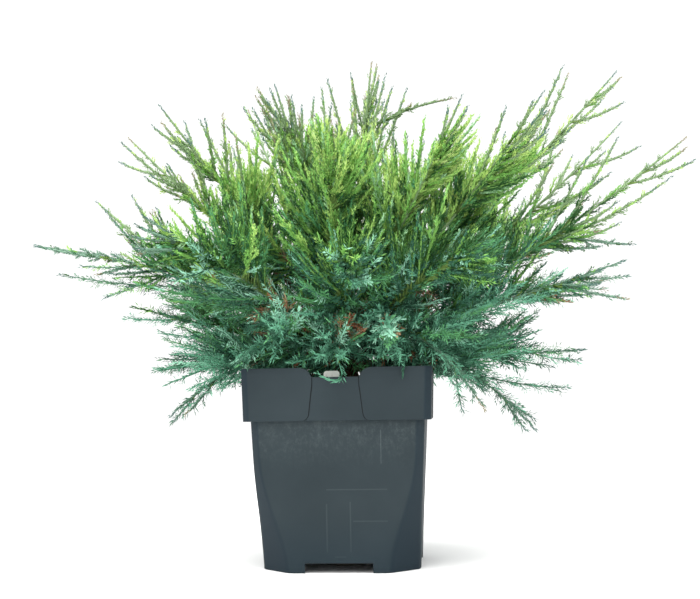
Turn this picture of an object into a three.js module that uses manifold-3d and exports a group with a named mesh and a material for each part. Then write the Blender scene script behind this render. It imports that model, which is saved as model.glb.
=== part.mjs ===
// A potted sea green juniper: a spreading evergreen shrub in a square nursery container.
// Millimetres, +Z up. The origin is the centre of the container's flat underside.
// +X is the right-hand side and -Y the front of the container. Azimuths turn from +X towards +Y.
import * as THREE from "three";
import { mergeVertices } from "three/addons/utils/BufferGeometryUtils.js";
import Module from "manifold-3d";

const wasm = await Module();
wasm.setup();

// Container: a tapering square body, a deep rim that stands round its top, and cut corners
const POT_HEIGHT = 215;
const RIM_HEIGHT = 56;
const RIM_BOTTOM = POT_HEIGHT - RIM_HEIGHT;
const RIM_HALF = { top: 101.6, bottom: 99.8 };
const RIM_CORNER = 6.4;
const BODY_HALF = { foot: 85, rim: 93 };
const CORNER_CUT = { top: 8, growth: 24, from: 120 };
const CORNER_EASE = { share: 0.35, most: 4 };
const BODY_LEVELS = [30, 60, 90, 120];
const WALL = 2;
const FLOOR = { under: 10, over: 12 };
const SKIRT_ROOF = POT_HEIGHT - 14;
const NOTCH = { half: 40, flat: 25, depth: 10, shoulder: 0.2 };
const PANEL = { topHalf: 24.7, lowHalf: 28.5, fillet: 8, depth: 0.9 };
const DRAIN_SLOT = { half: 36, height: 10.4, depth: 6 };
const DRAIN_HOLE = { radius: 6, centre: 52 };
const CENTRE_FOOT = 27;
const ROUND_SIDES = 10;
// How far a cutter runs past the face that it cuts
const PAST = 12;

// Potting mix and label
const GAP = 0.3;
const SOIL = { edge: 198, crown: 203, corner: 7, flatRadius: 34 };
const LABEL = { width: 17, length: 62, thick: 0.9, point: 14, corner: 2, x: -6, y: -78, top: 212, lean: 6 };

// Trunk: a short stem with a root flare, leaning a little to the right
const TRUNK = { foot: SOIL.crown + GAP, height: 94, footRadius: 13, tipRadius: 7, lean: [5, 3], sides: 15 };
const TRUNK_LEVELS = [0, 5, 12, 24, 42, 66];
const FLARE = { lobes: 5, swell: 0.42, fade: 14, lobe: 0.5 };

// Limbs: bare wood as far as BOUGH_END, a share of their length, and the stem of a mass from there on
const LIMB = { root: 4, tip: 1.5, taper: 0.75, sides: 4, steps: 3 };
const STEM = { sides: 3, steps: 6 };
const BOUGH_END = 0.27;
const ROOT_STAGGER = 9;
const ROOT_CLIMB = 0.6;

// Growth rule, shared by every mass. Angles are in degrees, and a pair is a range to draw from.
const SEED = 4.7;
const GOLDEN = 137.508;
const LEADER = {
  count: 4,
  step: 0.618,
  drift: 0.25,
  from: BOUGH_END + 0.1,
  to: 0.86,
  roll: 40,
  angle: [19, 37],
  share: [0.7, 0.92],
  extra: 12,
  follow: 0.32,
  rise: 0.3,
};
const TWIG = { root: 2.6, tip: 1.3, sides: 3, steps: 2 };
const SHOOT = {
  limb: { count: 3, from: 0.58 },
  side: { count: 2, from: 0.46 },
  to: 0.93,
  drift: 0.35,
  roll: 50,
  angle: [26, 42],
  low: 108,
  tip: 20,
  vary: [0.8, 1.1],
  shorter: [1, 0.78, 0.58],
};
// A spray's outline on one side of its midrib, along and across, as shares of its length:
// two teeth that point forwards. It is thickest over its middle.
const SPRAY = { teeth: [[0.36, 0.19], [0.5, 0.07], [0.76, 0.12]], middle: 0.43, thick: 0.05, sunk: 1.2 };
const CORE = {
  from: 0.29,
  to: 0.8,
  radius: 40,
  least: 2.3,
  swell: [0.12, 0.95],
  vary: [0.72, 1.1],
  sides: 5,
  rings: 4,
};

// Room that foliage leaves round its neighbours, the container and the trunk
const CLEAR = 0.9;
const ROOM = { beside: 5, coreBeside: 34, over: 2, trunk: 3, flare: 1.2 };

// Each mass of foliage: the way it grows, how far its tip reaches from the container's axis,
// the tip's height over the ground, and how far the limb's middle is lifted over a straight line.
// rootHeight is where the limb leaves the trunk, counted from the trunk's foot.
const TIERS = [
  {
    tier: "low",
    rootHeight: 13,
    masses: [
      { name: "right_low", azimuth: -3, reach: 270, tip: 233, lift: 4 },
      { name: "right_front_low", azimuth: -20, reach: 222, tip: 147, lift: 84 },
      { name: "back_right_low", azimuth: 46, reach: 240, tip: 212, lift: 26 },
      { name: "back_low", azimuth: 102, reach: 225, tip: 190, lift: 40 },
      { name: "back_left_low", azimuth: 159, reach: 252, tip: 222, lift: 24 },
      { name: "left_low", azimuth: 174, reach: 256, tip: 296, lift: 0 },
      { name: "left_front_low", azimuth: 203, reach: 198, tip: 166, lift: 66 },
      { name: "front_left_low", azimuth: 232, reach: 160, tip: 226, lift: 46 },
      { name: "front_low", azimuth: 268, reach: 122, tip: 228, lift: 22 },
      { name: "front_right_low", azimuth: 317, reach: 210, tip: 168, lift: 104 },
    ],
  },
  {
    tier: "middle",
    rootHeight: 37,
    masses: [
      { name: "right_middle", azimuth: -10, reach: 315, tip: 326, lift: -6 },
      { name: "right_sweep", azimuth: 4, reach: 402, tip: 480, lift: -46 },
      { name: "back_right_middle", azimuth: 27, reach: 396, tip: 540, lift: -44 },
      { name: "back_middle", azimuth: 84, reach: 285, tip: 388, lift: 4 },
      { name: "back_left_middle", azimuth: 146, reach: 296, tip: 330, lift: 12 },
      { name: "left_middle", azimuth: 182, reach: 362, tip: 366, lift: 34 },
      { name: "front_left_middle", azimuth: 226, reach: 262, tip: 366, lift: 0 },
      { name: "front_middle", azimuth: 276, reach: 190, tip: 332, lift: 4 },
      { name: "front_right_middle", azimuth: 309, reach: 248, tip: 342, lift: -4 },
    ],
  },
  {
    tier: "upper",
    rootHeight: 60,
    masses: [
      { name: "right_front_upper", azimuth: -24, reach: 248, tip: 504, lift: -38 },
      { name: "right_upper", azimuth: 12, reach: 338, tip: 574, lift: -36 },
      { name: "back_right_upper", azimuth: 58, reach: 246, tip: 560, lift: -30 },
      { name: "back_left_upper", azimuth: 126, reach: 246, tip: 580, lift: -30 },
      { name: "left_upper", azimuth: 168, reach: 276, tip: 510, lift: -18 },
      { name: "left_front_upper", azimuth: 204, reach: 211, tip: 508, lift: -22 },
      { name: "front_upper", azimuth: 267, reach: 142, tip: 472, lift: -8 },
      { name: "front_right_upper", azimuth: 320, reach: 182, tip: 498, lift: -30 },
    ],
  },
];
// Masses whose stem leaves the trunk's upper end itself, starting at a share of its length that clears it
const CROWN = [
  { name: "crown_left", azimuth: 190, reach: 76, tip: 548, lift: -8, rootHeight: 86, from: 0.06 },
  { name: "crown_right", azimuth: 24, reach: 40, tip: 580, lift: 0, rootHeight: TRUNK.height, from: 0.004 },
];

const MATERIALS = {
  pot: { color: 0x42505a, roughness: 0.62, metalness: 0 },
  soil: { color: 0x2b1e16, roughness: 0.95, metalness: 0 },
  label: { color: 0xd8dad6, roughness: 0.5, metalness: 0 },
  bark: { color: 0x5b4030, roughness: 0.9, metalness: 0 },
  low: { color: 0x3f6b56, roughness: 0.7, metalness: 0 },
  middle: { color: 0x4f7d45, roughness: 0.7, metalness: 0 },
  upper: { color: 0x6a9640, roughness: 0.7, metalness: 0 },
};

// Small tools

const up = new THREE.Vector3(0, 0, 1);
const { degToRad: radians, lerp } = THREE.MathUtils;
const smooth = (x) => THREE.MathUtils.smoothstep(x, 0, 1);
const fraction = (x) => x - Math.floor(x);

// A repeatable number from 0 to 1 for a mass, a twig on it and a purpose
function chance(mass, twig, purpose) {
  const mixed = SEED + mass * 12.9898 + twig * 78.233 + purpose * 37.719;
  return fraction(Math.sin(mixed) * 43758.5453);
}

const draw = ([low, high], mass, twig, purpose) => lerp(low, high, chance(mass, twig, purpose));

function solidFrom(geometry) {
  const bare = geometry.clone();
  bare.deleteAttribute("normal");
  bare.deleteAttribute("uv");
  const merged = mergeVertices(bare, 1e-4);
  const mesh = new wasm.Mesh({
    numProp: 3,
    vertProperties: new Float32Array(merged.attributes.position.array),
    triVerts: new Uint32Array(merged.index.array),
  });
  return new wasm.Manifold(mesh);
}

function meshOf(points, index) {
  const geometry = new THREE.BufferGeometry();
  geometry.setFromPoints(points);
  geometry.setIndex(index);
  return solidFrom(geometry);
}

function geometryFrom(solid) {
  const mesh = solid.getMesh();
  const geometry = new THREE.BufferGeometry();
  geometry.setAttribute("position", new THREE.BufferAttribute(new Float32Array(mesh.vertProperties), 3));
  geometry.setIndex(new THREE.BufferAttribute(new Uint32Array(mesh.triVerts), 1));
  geometry.computeVertexNormals();
  return geometry;
}

// The largest body of a solid: a scrap that fusing left loose is dropped
function mainBody(solid) {
  const bodies = solid.decompose();
  return bodies.reduce((best, body) => (body.volume() > best.volume() ? body : best));
}

// A closed skin over rings of points, each ring turning left round the way the skin runs
function loft(rings) {
  const sides = rings[0].length;
  const last = (rings.length - 1) * sides;
  const index = [];
  for (let ring = 0; ring < rings.length - 1; ring++) {
    for (let side = 0; side < sides; side++) {
      const a = ring * sides + side;
      const b = ring * sides + ((side + 1) % sides);
      index.push(a, b, b + sides, a, b + sides, a + sides);
    }
  }
  for (let side = 1; side < sides - 1; side++) {
    index.push(0, side + 1, side, last, last + side, last + side + 1);
  }
  return meshOf(rings.flat(), index);
}

// Container

// A square section with each corner cut at 45 degrees and the cut's edges eased
function squareRing(half, cut, z) {
  const ease = Math.min(cut * CORNER_EASE.share, CORNER_EASE.most);
  const slant = ease * Math.SQRT1_2;
  const corner = [
    [half, half - cut - ease],
    [half - slant, half - cut + slant],
    [half - cut + slant, half - slant],
    [half - cut - ease, half],
  ];
  const ring = [];
  for (let quarter = 0; quarter < 4; quarter++) {
    for (const [x, y] of corner) {
      ring.push(new THREE.Vector3(x, y, z).applyAxisAngle(up, (quarter * Math.PI) / 2));
    }
  }
  return ring;
}

const bodyHalf = (z) => lerp(BODY_HALF.foot, BODY_HALF.rim, z / RIM_BOTTOM);
const rimHalf = (z) => lerp(RIM_HALF.bottom, RIM_HALF.top, (z - RIM_BOTTOM) / RIM_HEIGHT);
const cornerCut = (z) => CORNER_CUT.top + CORNER_CUT.growth * smooth(1 - z / CORNER_CUT.from);
// How much narrower a 45 degree cut gets when its square is taken in by an inset
const narrower = (inset) => inset * (2 - Math.SQRT2);

// The body's shape, taken in by an inset, between two heights
function bodyShape(inset, low, high) {
  const between = BODY_LEVELS.filter((z) => z > low + 1 && z < high - 1);
  const levels = [low, ...between, high];
  return loft(levels.map((z) => squareRing(bodyHalf(z) - inset, cornerCut(z) - narrower(inset), z)));
}

// The rim's outer shape, taken in by an inset, between two heights
function rimShape(inset, low, high) {
  const cut = RIM_CORNER - narrower(inset);
  return loft([low, high].map((z) => squareRing(rimHalf(z) - inset, cut, z)));
}

// The same cutter on each of the four sides
function onFourSides(cutter) {
  const turns = [0, 90, 180, 270].map((angle) => cutter.rotate([0, 0, angle]));
  return wasm.Manifold.union(turns);
}

// The hand dip in the middle of the rim's top edge
function notchCutter() {
  const { half, flat, depth, shoulder } = NOTCH;
  const bend = flat + (half - flat) * shoulder;
  const shape = new THREE.Shape();
  shape.moveTo(-half, 1);
  shape.lineTo(-half, 0);
  shape.quadraticCurveTo(-bend, 0, -flat, -depth);
  shape.lineTo(flat, -depth);
  shape.quadraticCurveTo(bend, 0, half, 0);
  shape.lineTo(half, 1);
  const geometry = new THREE.ExtrudeGeometry(shape, { depth: 2 * PAST, bevelEnabled: false, curveSegments: 3 });
  geometry.rotateX(Math.PI / 2);
  geometry.translate(0, -RIM_HALF.bottom + PAST, POT_HEIGHT);
  return solidFrom(geometry);
}

// The sunk panel in the middle of each side of the rim, which flares to the rim's lower edge
function panelCutter() {
  const { topHalf, lowHalf, fillet, depth } = PANEL;
  const shape = new THREE.Shape();
  shape.moveTo(-lowHalf - fillet, -1);
  shape.lineTo(-lowHalf - fillet, 0);
  shape.quadraticCurveTo(-lowHalf, 0, -lowHalf, fillet);
  shape.lineTo(-topHalf, RIM_HEIGHT - NOTCH.depth);
  shape.lineTo(-topHalf, RIM_HEIGHT + 1);
  shape.lineTo(topHalf, RIM_HEIGHT + 1);
  shape.lineTo(topHalf, RIM_HEIGHT - NOTCH.depth);
  shape.lineTo(lowHalf, fillet);
  shape.quadraticCurveTo(lowHalf, 0, lowHalf + fillet, 0);
  shape.lineTo(lowHalf + fillet, -1);
  const geometry = new THREE.ExtrudeGeometry(shape, { depth: PAST, bevelEnabled: false, curveSegments: 2 });
  geometry.rotateX(Math.PI / 2);
  geometry.rotateX(Math.atan((RIM_HALF.top - RIM_HALF.bottom) / RIM_HEIGHT));
  geometry.translate(0, -RIM_HALF.bottom + depth, RIM_BOTTOM);
  return solidFrom(geometry);
}

function box(width, depth, low, high) {
  const geometry = new THREE.BoxGeometry(width, depth, high - low);
  geometry.translate(0, 0, (low + high) / 2);
  return solidFrom(geometry);
}

function upright(radius, low, high, x = 0, y = 0) {
  const geometry = new THREE.CylinderGeometry(radius, radius, high - low, ROUND_SIDES);
  geometry.rotateX(Math.PI / 2);
  geometry.translate(x, y, (low + high) / 2);
  return solidFrom(geometry);
}

// The slots under the foot of the four sides, which let water out and air in
function drainSlots() {
  const across = 2 * (BODY_HALF.foot + PAST);
  const wide = 2 * DRAIN_SLOT.half;
  const inner = 2 * (BODY_HALF.foot - DRAIN_SLOT.depth);
  return box(wide, across, -1, DRAIN_SLOT.height)
    .add(box(across, wide, -1, DRAIN_SLOT.height))
    .subtract(box(inner, inner, -2, DRAIN_SLOT.height + 1));
}

function makePot() {
  const outside = bodyShape(0, 0, POT_HEIGHT).add(rimShape(0, RIM_BOTTOM, POT_HEIGHT));
  const inside = bodyShape(WALL, FLOOR.over, POT_HEIGHT + 1);
  const skirtRoom = rimShape(WALL, RIM_BOTTOM - 1, SKIRT_ROOF).subtract(bodyShape(0, 0, POT_HEIGHT));
  const footRoom = bodyShape(WALL, -1, FLOOR.under).subtract(upright(CENTRE_FOOT, -2, FLOOR.under + 1));
  const holes = [45, 135, 225, 315].map((angle) => {
    const x = DRAIN_HOLE.centre * Math.cos(radians(angle));
    const y = DRAIN_HOLE.centre * Math.sin(radians(angle));
    return upright(DRAIN_HOLE.radius, FLOOR.under - 1, FLOOR.over + 1, x, y);
  });
  const cuts = [inside, skirtRoom, footRoom, drainSlots(), ...holes];
  cuts.push(onFourSides(notchCutter()), onFourSides(panelCutter()));
  return mainBody(outside.subtract(wasm.Manifold.union(cuts)));
}

// A blank plant label pushed into the soil behind the front dip, or the room it needs, grown by a gap
function makeLabel(grow = 0) {
  const half = LABEL.width / 2 + grow;
  const shape = new THREE.Shape();
  shape.moveTo(0, -LABEL.length - grow);
  shape.lineTo(half, -LABEL.length + LABEL.point);
  shape.lineTo(half, -LABEL.corner);
  shape.lineTo(half - LABEL.corner, grow);
  shape.lineTo(-half + LABEL.corner, grow);
  shape.lineTo(-half, -LABEL.corner);
  shape.lineTo(-half, -LABEL.length + LABEL.point);
  const thick = LABEL.thick + 2 * grow;
  const geometry = new THREE.ExtrudeGeometry(shape, { depth: thick, bevelEnabled: false });
  geometry.translate(0, 0, -thick / 2);
  geometry.rotateX(Math.PI / 2 - radians(LABEL.lean));
  geometry.translate(LABEL.x, LABEL.y, LABEL.top);
  return solidFrom(geometry);
}

// Potting mix: it fills the container and rises in a low mound to a flat spot under the trunk
function makeSoil() {
  const inset = WALL + GAP;
  const filling = bodyShape(inset, FLOOR.over + GAP, SOIL.edge);
  const edge = squareRing(bodyHalf(SOIL.edge) - inset, SOIL.corner, SOIL.edge - 1);
  const flat = edge.map(({ x, y }) => new THREE.Vector3(x, y, 0).setLength(SOIL.flatRadius).setZ(SOIL.crown));
  return filling.add(loft([edge, flat])).subtract(makeLabel(GAP));
}

// Trunk and limbs

function trunkAxis(height) {
  const share = height / TRUNK.height;
  return new THREE.Vector3(TRUNK.lean[0] * share, TRUNK.lean[1] * share, TRUNK.foot + height);
}

const trunkRadius = (height) => lerp(TRUNK.footRadius, TRUNK.tipRadius, height / TRUNK.height);

// The trunk, or the room it needs, grown by a gap
function makeTrunk(grow = 0) {
  const rings = [...TRUNK_LEVELS, TRUNK.height + grow].map((height) => {
    const flare = FLARE.swell * Math.exp(-height / FLARE.fade);
    const ring = [];
    for (let side = 0; side < TRUNK.sides; side++) {
      const angle = (side / TRUNK.sides) * 2 * Math.PI;
      const swollen = 1 + flare * (1 + FLARE.lobe * Math.cos(FLARE.lobes * angle));
      const spoke = new THREE.Vector3(Math.cos(angle), Math.sin(angle), 0);
      ring.push(spoke.multiplyScalar(trunkRadius(height) * swollen + grow).add(trunkAxis(height)));
    }
    return ring;
  });
  return loft(rings);
}

// A curve of three points, with what the growth rule asks of it
class Stem {
  constructor(start, middle, end) {
    this.curve = new THREE.QuadraticBezierCurve3(start, middle, end);
    this.length = this.curve.getLength();
  }
  at(t) {
    return this.curve.getPoint(t);
  }
  heading(t) {
    return this.curve.getTangent(t);
  }
  // The heading at t, turned away from the stem by an angle, on the side that roll names
  turned(t, angle, roll) {
    const along = this.heading(t);
    const side = new THREE.Vector3().crossVectors(along, up).normalize();
    side.applyAxisAngle(along, roll);
    return along.multiplyScalar(Math.cos(angle)).addScaledVector(side, Math.sin(angle));
  }
}

// The limb of a mass, from the trunk's middle to the mass's furthest tip
function limbOf({ azimuth, reach, tip, lift, rootHeight }) {
  const start = trunkAxis(rootHeight);
  const end = new THREE.Vector3(Math.cos(radians(azimuth)), Math.sin(radians(azimuth)), 0);
  end.multiplyScalar(reach).setZ(tip);
  const middle = start.clone().lerp(end, 0.5);
  middle.z += lift;
  return new Stem(start, middle, end);
}

// Side shoots of a mass: the first is the limb's own end, and each next one leaves the limb
// a golden angle further round, at a place that a golden step picks
function leaderOf(mass, limb, leader) {
  if (leader === 0) return limb;
  const place = fraction(leader * LEADER.step + LEADER.drift * chance(mass, leader, 1));
  const t = lerp(LEADER.from, LEADER.to, place);
  const roll = radians(leader * GOLDEN + LEADER.roll * chance(mass, leader, 2));
  const angle = radians(draw(LEADER.angle, mass, leader, 3));
  const length = limb.length * (1 - t) * draw(LEADER.share, mass, leader, 4) + LEADER.extra;
  const start = limb.at(t);
  const way = limb.turned(t, angle, roll);
  const middle = start.clone().addScaledVector(way, length / 2);
  const bent = way.addScaledVector(limb.heading(1), LEADER.follow).addScaledVector(up, LEADER.rise).normalize();
  return new Stem(start, middle, middle.clone().addScaledVector(bent, length / 2));
}

// Sprays along a shoot: longest low down on it, short near its tip
function shootOf(mass, leader, stem, place, { count, from }) {
  const id = leader * 41 + place;
  const t = lerp(from, SHOOT.to, (place + SHOOT.drift * chance(mass, id, 5)) / count);
  const roll = radians(place * GOLDEN + SHOOT.roll * chance(mass, id, 6));
  const angle = radians(draw(SHOOT.angle, mass, id, 7));
  const length = lerp(SHOOT.low, SHOOT.tip, t) * draw(SHOOT.vary, mass, id, 8);
  return { start: stem.at(t), way: stem.turned(t, angle, roll), length, roll };
}

// A tapering limb of a few sides along a stem, between two places on it
function limbSolid(stem, from, to, radiusAt, { sides, steps }) {
  const rings = [];
  for (let step = 0; step <= steps; step++) {
    const t = lerp(from, to, step / steps);
    const along = stem.heading(t);
    const across = new THREE.Vector3().crossVectors(along, new THREE.Vector3(0.21, 0.13, 1)).normalize();
    const ring = [];
    for (let side = 0; side < sides; side++) {
      const spoke = across.clone().applyAxisAngle(along, (side / sides) * 2 * Math.PI);
      ring.push(spoke.multiplyScalar(radiusAt(t)).add(stem.at(t)));
    }
    rings.push(ring);
  }
  return loft(rings);
}

const limbRadius = (t) => lerp(LIMB.root, LIMB.tip, Math.min(1, t ** LIMB.taper));
const twigRadius = (t) => lerp(TWIG.root, TWIG.tip, t);

// A spray as a toothed blade, thickest over its middle, with its root sunk in the twig that carries it
function spraySolid({ start, way, length, roll }) {
  const across = new THREE.Vector3().crossVectors(way, up).normalize().applyAxisAngle(way, roll);
  const over = new THREE.Vector3().crossVectors(across, way);
  const place = (along, aside, above) =>
    start
      .clone()
      .addScaledVector(way, length * along - SPRAY.sunk)
      .addScaledVector(across, length * aside)
      .addScaledVector(over, length * above);
  const right = SPRAY.teeth.map(([along, aside]) => place(along, aside, 0));
  const left = SPRAY.teeth.map(([along, aside]) => place(along, -aside, 0)).reverse();
  const outline = [place(0, 0, 0), ...right, place(1, 0, 0), ...left];
  const points = [...outline, place(SPRAY.middle, 0, SPRAY.thick), place(SPRAY.middle, 0, -SPRAY.thick)];
  const [top, under] = [outline.length, outline.length + 1];
  const index = outline.flatMap((_, corner) => {
    const next = (corner + 1) % outline.length;
    return [corner, next, top, next, corner, under];
  });
  const ridge = [0.2, 0.6, 0.85].map((along) => place(along, 0, 0));
  return { solid: meshOf(points, index), points: [...points, ...ridge] };
}

// Space: a point belongs to the mass whose limb is nearest

const masses = TIERS.flatMap(({ tier, rootHeight, masses: list }) =>
  list.map((mass, place) => {
    const height = rootHeight + (place % 2) * ROOT_STAGGER + place * ROOT_CLIMB;
    return { ...mass, tier, rootHeight: height, from: BOUGH_END };
  })
);
masses.push(...CROWN.map((mass) => ({ ...mass, tier: "upper", onTrunk: true })));
masses.forEach((mass, index) => {
  mass.index = index;
  mass.limb = limbOf(mass);
  mass.line = mass.limb.curve.getPoints(14);
});

function distanceTo(points, p) {
  const line = new THREE.Line3();
  const near = new THREE.Vector3();
  let best = Infinity;
  for (let i = 0; i < points.length - 1; i++) {
    line.set(points[i], points[i + 1]).closestPointToPoint(p, true, near);
    best = Math.min(best, near.distanceTo(p));
  }
  return best;
}

// Clear of the container, the soil and the trunk
function clearOfPot(p, beside) {
  const half = RIM_HALF.top + beside;
  const over = Math.abs(p.x) < half && Math.abs(p.y) < half;
  if (over && p.z < POT_HEIGHT + ROOM.over) return false;
  const height = p.z - TRUNK.foot;
  if (height > TRUNK.height + ROOM.over) return true;
  const axis = trunkAxis(height);
  return Math.hypot(p.x - axis.x, p.y - axis.y) > trunkRadius(height) * ROOM.flare + ROOM.trunk;
}

function inSpace(mass, p, margin, beside = ROOM.beside) {
  if (!clearOfPot(p, beside)) return false;
  const needed = Math.max(distanceTo(mass.line, p), LIMB.root) + margin;
  return masses.every((other) => other === mass || distanceTo(other.line, p) >= needed);
}

// The dense middle of a mass: a skin round the limb that fills its space as far as its radius allows
function coreSolid(mass) {
  const rings = [];
  for (let step = 0; step <= CORE.rings; step++) {
    const share = step / CORE.rings;
    const t = lerp(CORE.from, CORE.to, share);
    const along = mass.limb.heading(t);
    const across = new THREE.Vector3().crossVectors(along, up).normalize();
    const wanted = CORE.least + CORE.radius * Math.sin(Math.PI * lerp(...CORE.swell, share));
    const ring = [];
    for (let side = 0; side < CORE.sides; side++) {
      const turn = ((side + 0.5 * (step % 2)) / CORE.sides) * 2 * Math.PI;
      const spoke = across.clone().applyAxisAngle(along, turn);
      const point = (radius) => mass.limb.at(t).addScaledVector(spoke, radius);
      let radius = wanted * draw(CORE.vary, mass.index, step * 7 + side, 9);
      while (radius > CORE.least && !inSpace(mass, point(radius), 2 * CLEAR, ROOM.coreBeside)) radius *= 0.9;
      ring.push(point(radius));
    }
    rings.push(ring);
  }
  return loft(rings);
}

// The longest of a few lengths at which a spray keeps to its mass's space, if any does
function fittingSpray(mass, shoot) {
  const tries = SHOOT.shorter.map((share) => spraySolid({ ...shoot, length: shoot.length * share }));
  return tries.find(({ points }) => points.every((p) => inSpace(mass, p, CLEAR)));
}

function makeMass(mass) {
  const { index, limb, from } = mass;
  const parts = [limbSolid(limb, from, 1, limbRadius, STEM), coreSolid(mass)];
  for (let leader = 0; leader < LEADER.count; leader++) {
    const stem = leaderOf(index, limb, leader);
    if (leader > 0) {
      const samples = [0.3, 0.5, 0.7, 0.85, 1].map((t) => stem.at(t));
      if (!samples.every((p) => inSpace(mass, p, CLEAR + TWIG.root))) continue;
      parts.push(limbSolid(stem, 0, 1, twigRadius, TWIG));
    }
    const sprays = leader === 0 ? SHOOT.limb : SHOOT.side;
    for (let place = 0; place < sprays.count; place++) {
      const spray = fittingSpray(mass, shootOf(index, leader, stem, place, sprays));
      if (spray) parts.push(spray.solid);
    }
  }
  return mainBody(wasm.Manifold.union(parts));
}

// Bare wood from the trunk's side to just short of the mass's stem
function makeBough(mass, trunkRoom) {
  const end = BOUGH_END - GAP / mass.limb.length;
  return mainBody(limbSolid(mass.limb, 0, end, limbRadius, LIMB).subtract(trunkRoom));
}

// Assembly

const plant = new THREE.Group();
plant.name = "potted_sea_green_juniper";

function addNode(name, solid, material) {
  const mesh = new THREE.Mesh(geometryFrom(solid), new THREE.MeshStandardMaterial(MATERIALS[material]));
  mesh.name = name;
  plant.add(mesh);
}

addNode("pot", makePot(), "pot");
addNode("soil", makeSoil(), "soil");
addNode("label", makeLabel(), "label");
addNode("trunk", makeTrunk(), "bark");

const trunkRoom = makeTrunk(GAP);
for (const mass of masses) {
  if (!mass.onTrunk) addNode(`bough_${mass.name}`, makeBough(mass, trunkRoom), "bark");
  addNode(`foliage_${mass.name}`, makeMass(mass), mass.tier);
}

export default plant;
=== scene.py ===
# A potted sea green juniper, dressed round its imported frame.
# Shapes are worked out in millimetres and become metres when they become meshes. Azimuths turn from +X
# towards +Y, the container's front faces -Y, and angles are in degrees.
import functools
import math

import bmesh
import bpy
import numpy as np
from mathutils import Matrix, Vector, noise


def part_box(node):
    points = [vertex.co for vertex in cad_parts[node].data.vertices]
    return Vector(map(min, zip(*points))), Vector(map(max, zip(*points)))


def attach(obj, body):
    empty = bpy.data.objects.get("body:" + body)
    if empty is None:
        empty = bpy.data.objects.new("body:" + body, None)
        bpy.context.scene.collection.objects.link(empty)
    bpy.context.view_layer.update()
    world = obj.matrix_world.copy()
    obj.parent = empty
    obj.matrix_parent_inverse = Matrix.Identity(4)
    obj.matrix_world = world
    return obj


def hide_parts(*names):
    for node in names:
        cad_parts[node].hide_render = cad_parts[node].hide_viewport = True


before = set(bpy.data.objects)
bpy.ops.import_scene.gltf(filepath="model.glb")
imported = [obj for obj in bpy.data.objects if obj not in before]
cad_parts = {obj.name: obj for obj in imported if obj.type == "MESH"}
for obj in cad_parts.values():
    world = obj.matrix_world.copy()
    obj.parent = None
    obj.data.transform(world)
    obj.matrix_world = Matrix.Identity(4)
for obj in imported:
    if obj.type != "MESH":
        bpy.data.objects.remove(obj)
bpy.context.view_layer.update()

MM = 0.001

# Container: a tapering square body, a deep rim that stands round its top, and cut corners
pot_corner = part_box("pot")[1] / MM
POT_HEIGHT = round(pot_corner.z, 1)
RIM_HEIGHT = 56
RIM_BOTTOM = POT_HEIGHT - RIM_HEIGHT
RIM_HALF = (99.8, round(pot_corner.x, 1))
RIM_CORNER = 6.4
BODY_HALF = (85, 93)
CORNER_CUT = {"top": 8, "growth": 24, "from": 120}
CORNER_EASE = {"rim": 2.2, "body": 0.3}
WALL = 2
LIP = 2.4
EDGE = 0.7
FLOOR = {"under": 10, "over": 12}
SKIRT_ROOF = POT_HEIGHT - 14
LEDGE = 202
NOTCH = {"half": 40, "bend": 28, "flat": 25, "depth": 10}
PANEL = {"top": 24.7, "low": 28.5, "fillet": 8, "depth": 0.9, "step": 0.9}
DRAIN_SLOT = {"half": 36, "height": 10.4, "depth": 6}
DRAIN_HOLE = {"radius": 6, "centre": 52}
CENTRE_FOOT = 27
CUTTER_EXCESS = {"out": 4, "down": 6}
# Heights of the wall's rings: on the body, over the rim's foot, as shares of the rim's face, and inside
BODY_LEVELS = (4, 12, 20, 30, 40, 50, 60, 70, 80, 90, 100, 110, 120, 135, 150)
RIM_LEVELS = (0.4 * EDGE, EDGE, 1.4, 2.4, 3.6, 5.2, PANEL["fillet"])
RIM_SHARES = (0.22, 0.34, 0.48, 0.62, 0.76, 0.88)
INSIDE_LEVELS = (150, 100, 50, FLOOR["over"] + 1)
# Columns on half a flat side, the first few of them on the sunk panel, and points on a corner's curve
FLAT_COLUMNS = 12
PANEL_COLUMNS = 4
CORNER_STEPS = 6
# Moulding marks on the front, each by its width and its height in metres
MOULD_LINES = [
    ((-0.012, 0.052), (0.0865, 0.0875)), ((0.016, 0.052), (0.0535, 0.0545)),
    ((-0.004, 0.008), (0.0165, 0.0175)), ((-0.0125, -0.0115), (0.022, 0.072)),
    ((0.0125, 0.0135), (0.022, 0.074)), ((0.046, 0.0465), (0.114, 0.149)),
]

# Potting mix, with loose bits on it: how many, their length, how flat they are, and how far they lie out
SOIL = {
    "edge": 198, "crown": 203, "under": 186, "sunk": 0.6, "flat": 0.3, "lumps": 1.6, "clod": 13, "dip": 16,
    "play": 0.2, "corner": 7.4, "cells": 110,
}
CHIPS = {"count": 900, "size": (3, 15), "flatness": (0.12, 0.4), "purpose": 40, "reach": 88}
CRUMBS = {"count": 46, "size": (2, 4.2), "flatness": (0.6, 0.95), "purpose": 60, "reach": 86}
BIT = {
    "clear": 22, "corner": 1.9, "broad": (0.28, 0.7), "tilt": (-0.35, 0.35), "uneven": (0.7, 1.2),
    "points": 6, "faces": 8, "tint_ease": 1.4,
}
OCTAHEDRON = np.array([
    (0, 2, 4), (2, 1, 4), (1, 3, 4), (3, 0, 4), (2, 0, 5), (1, 2, 5), (3, 1, 5), (0, 3, 5),
])

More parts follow.
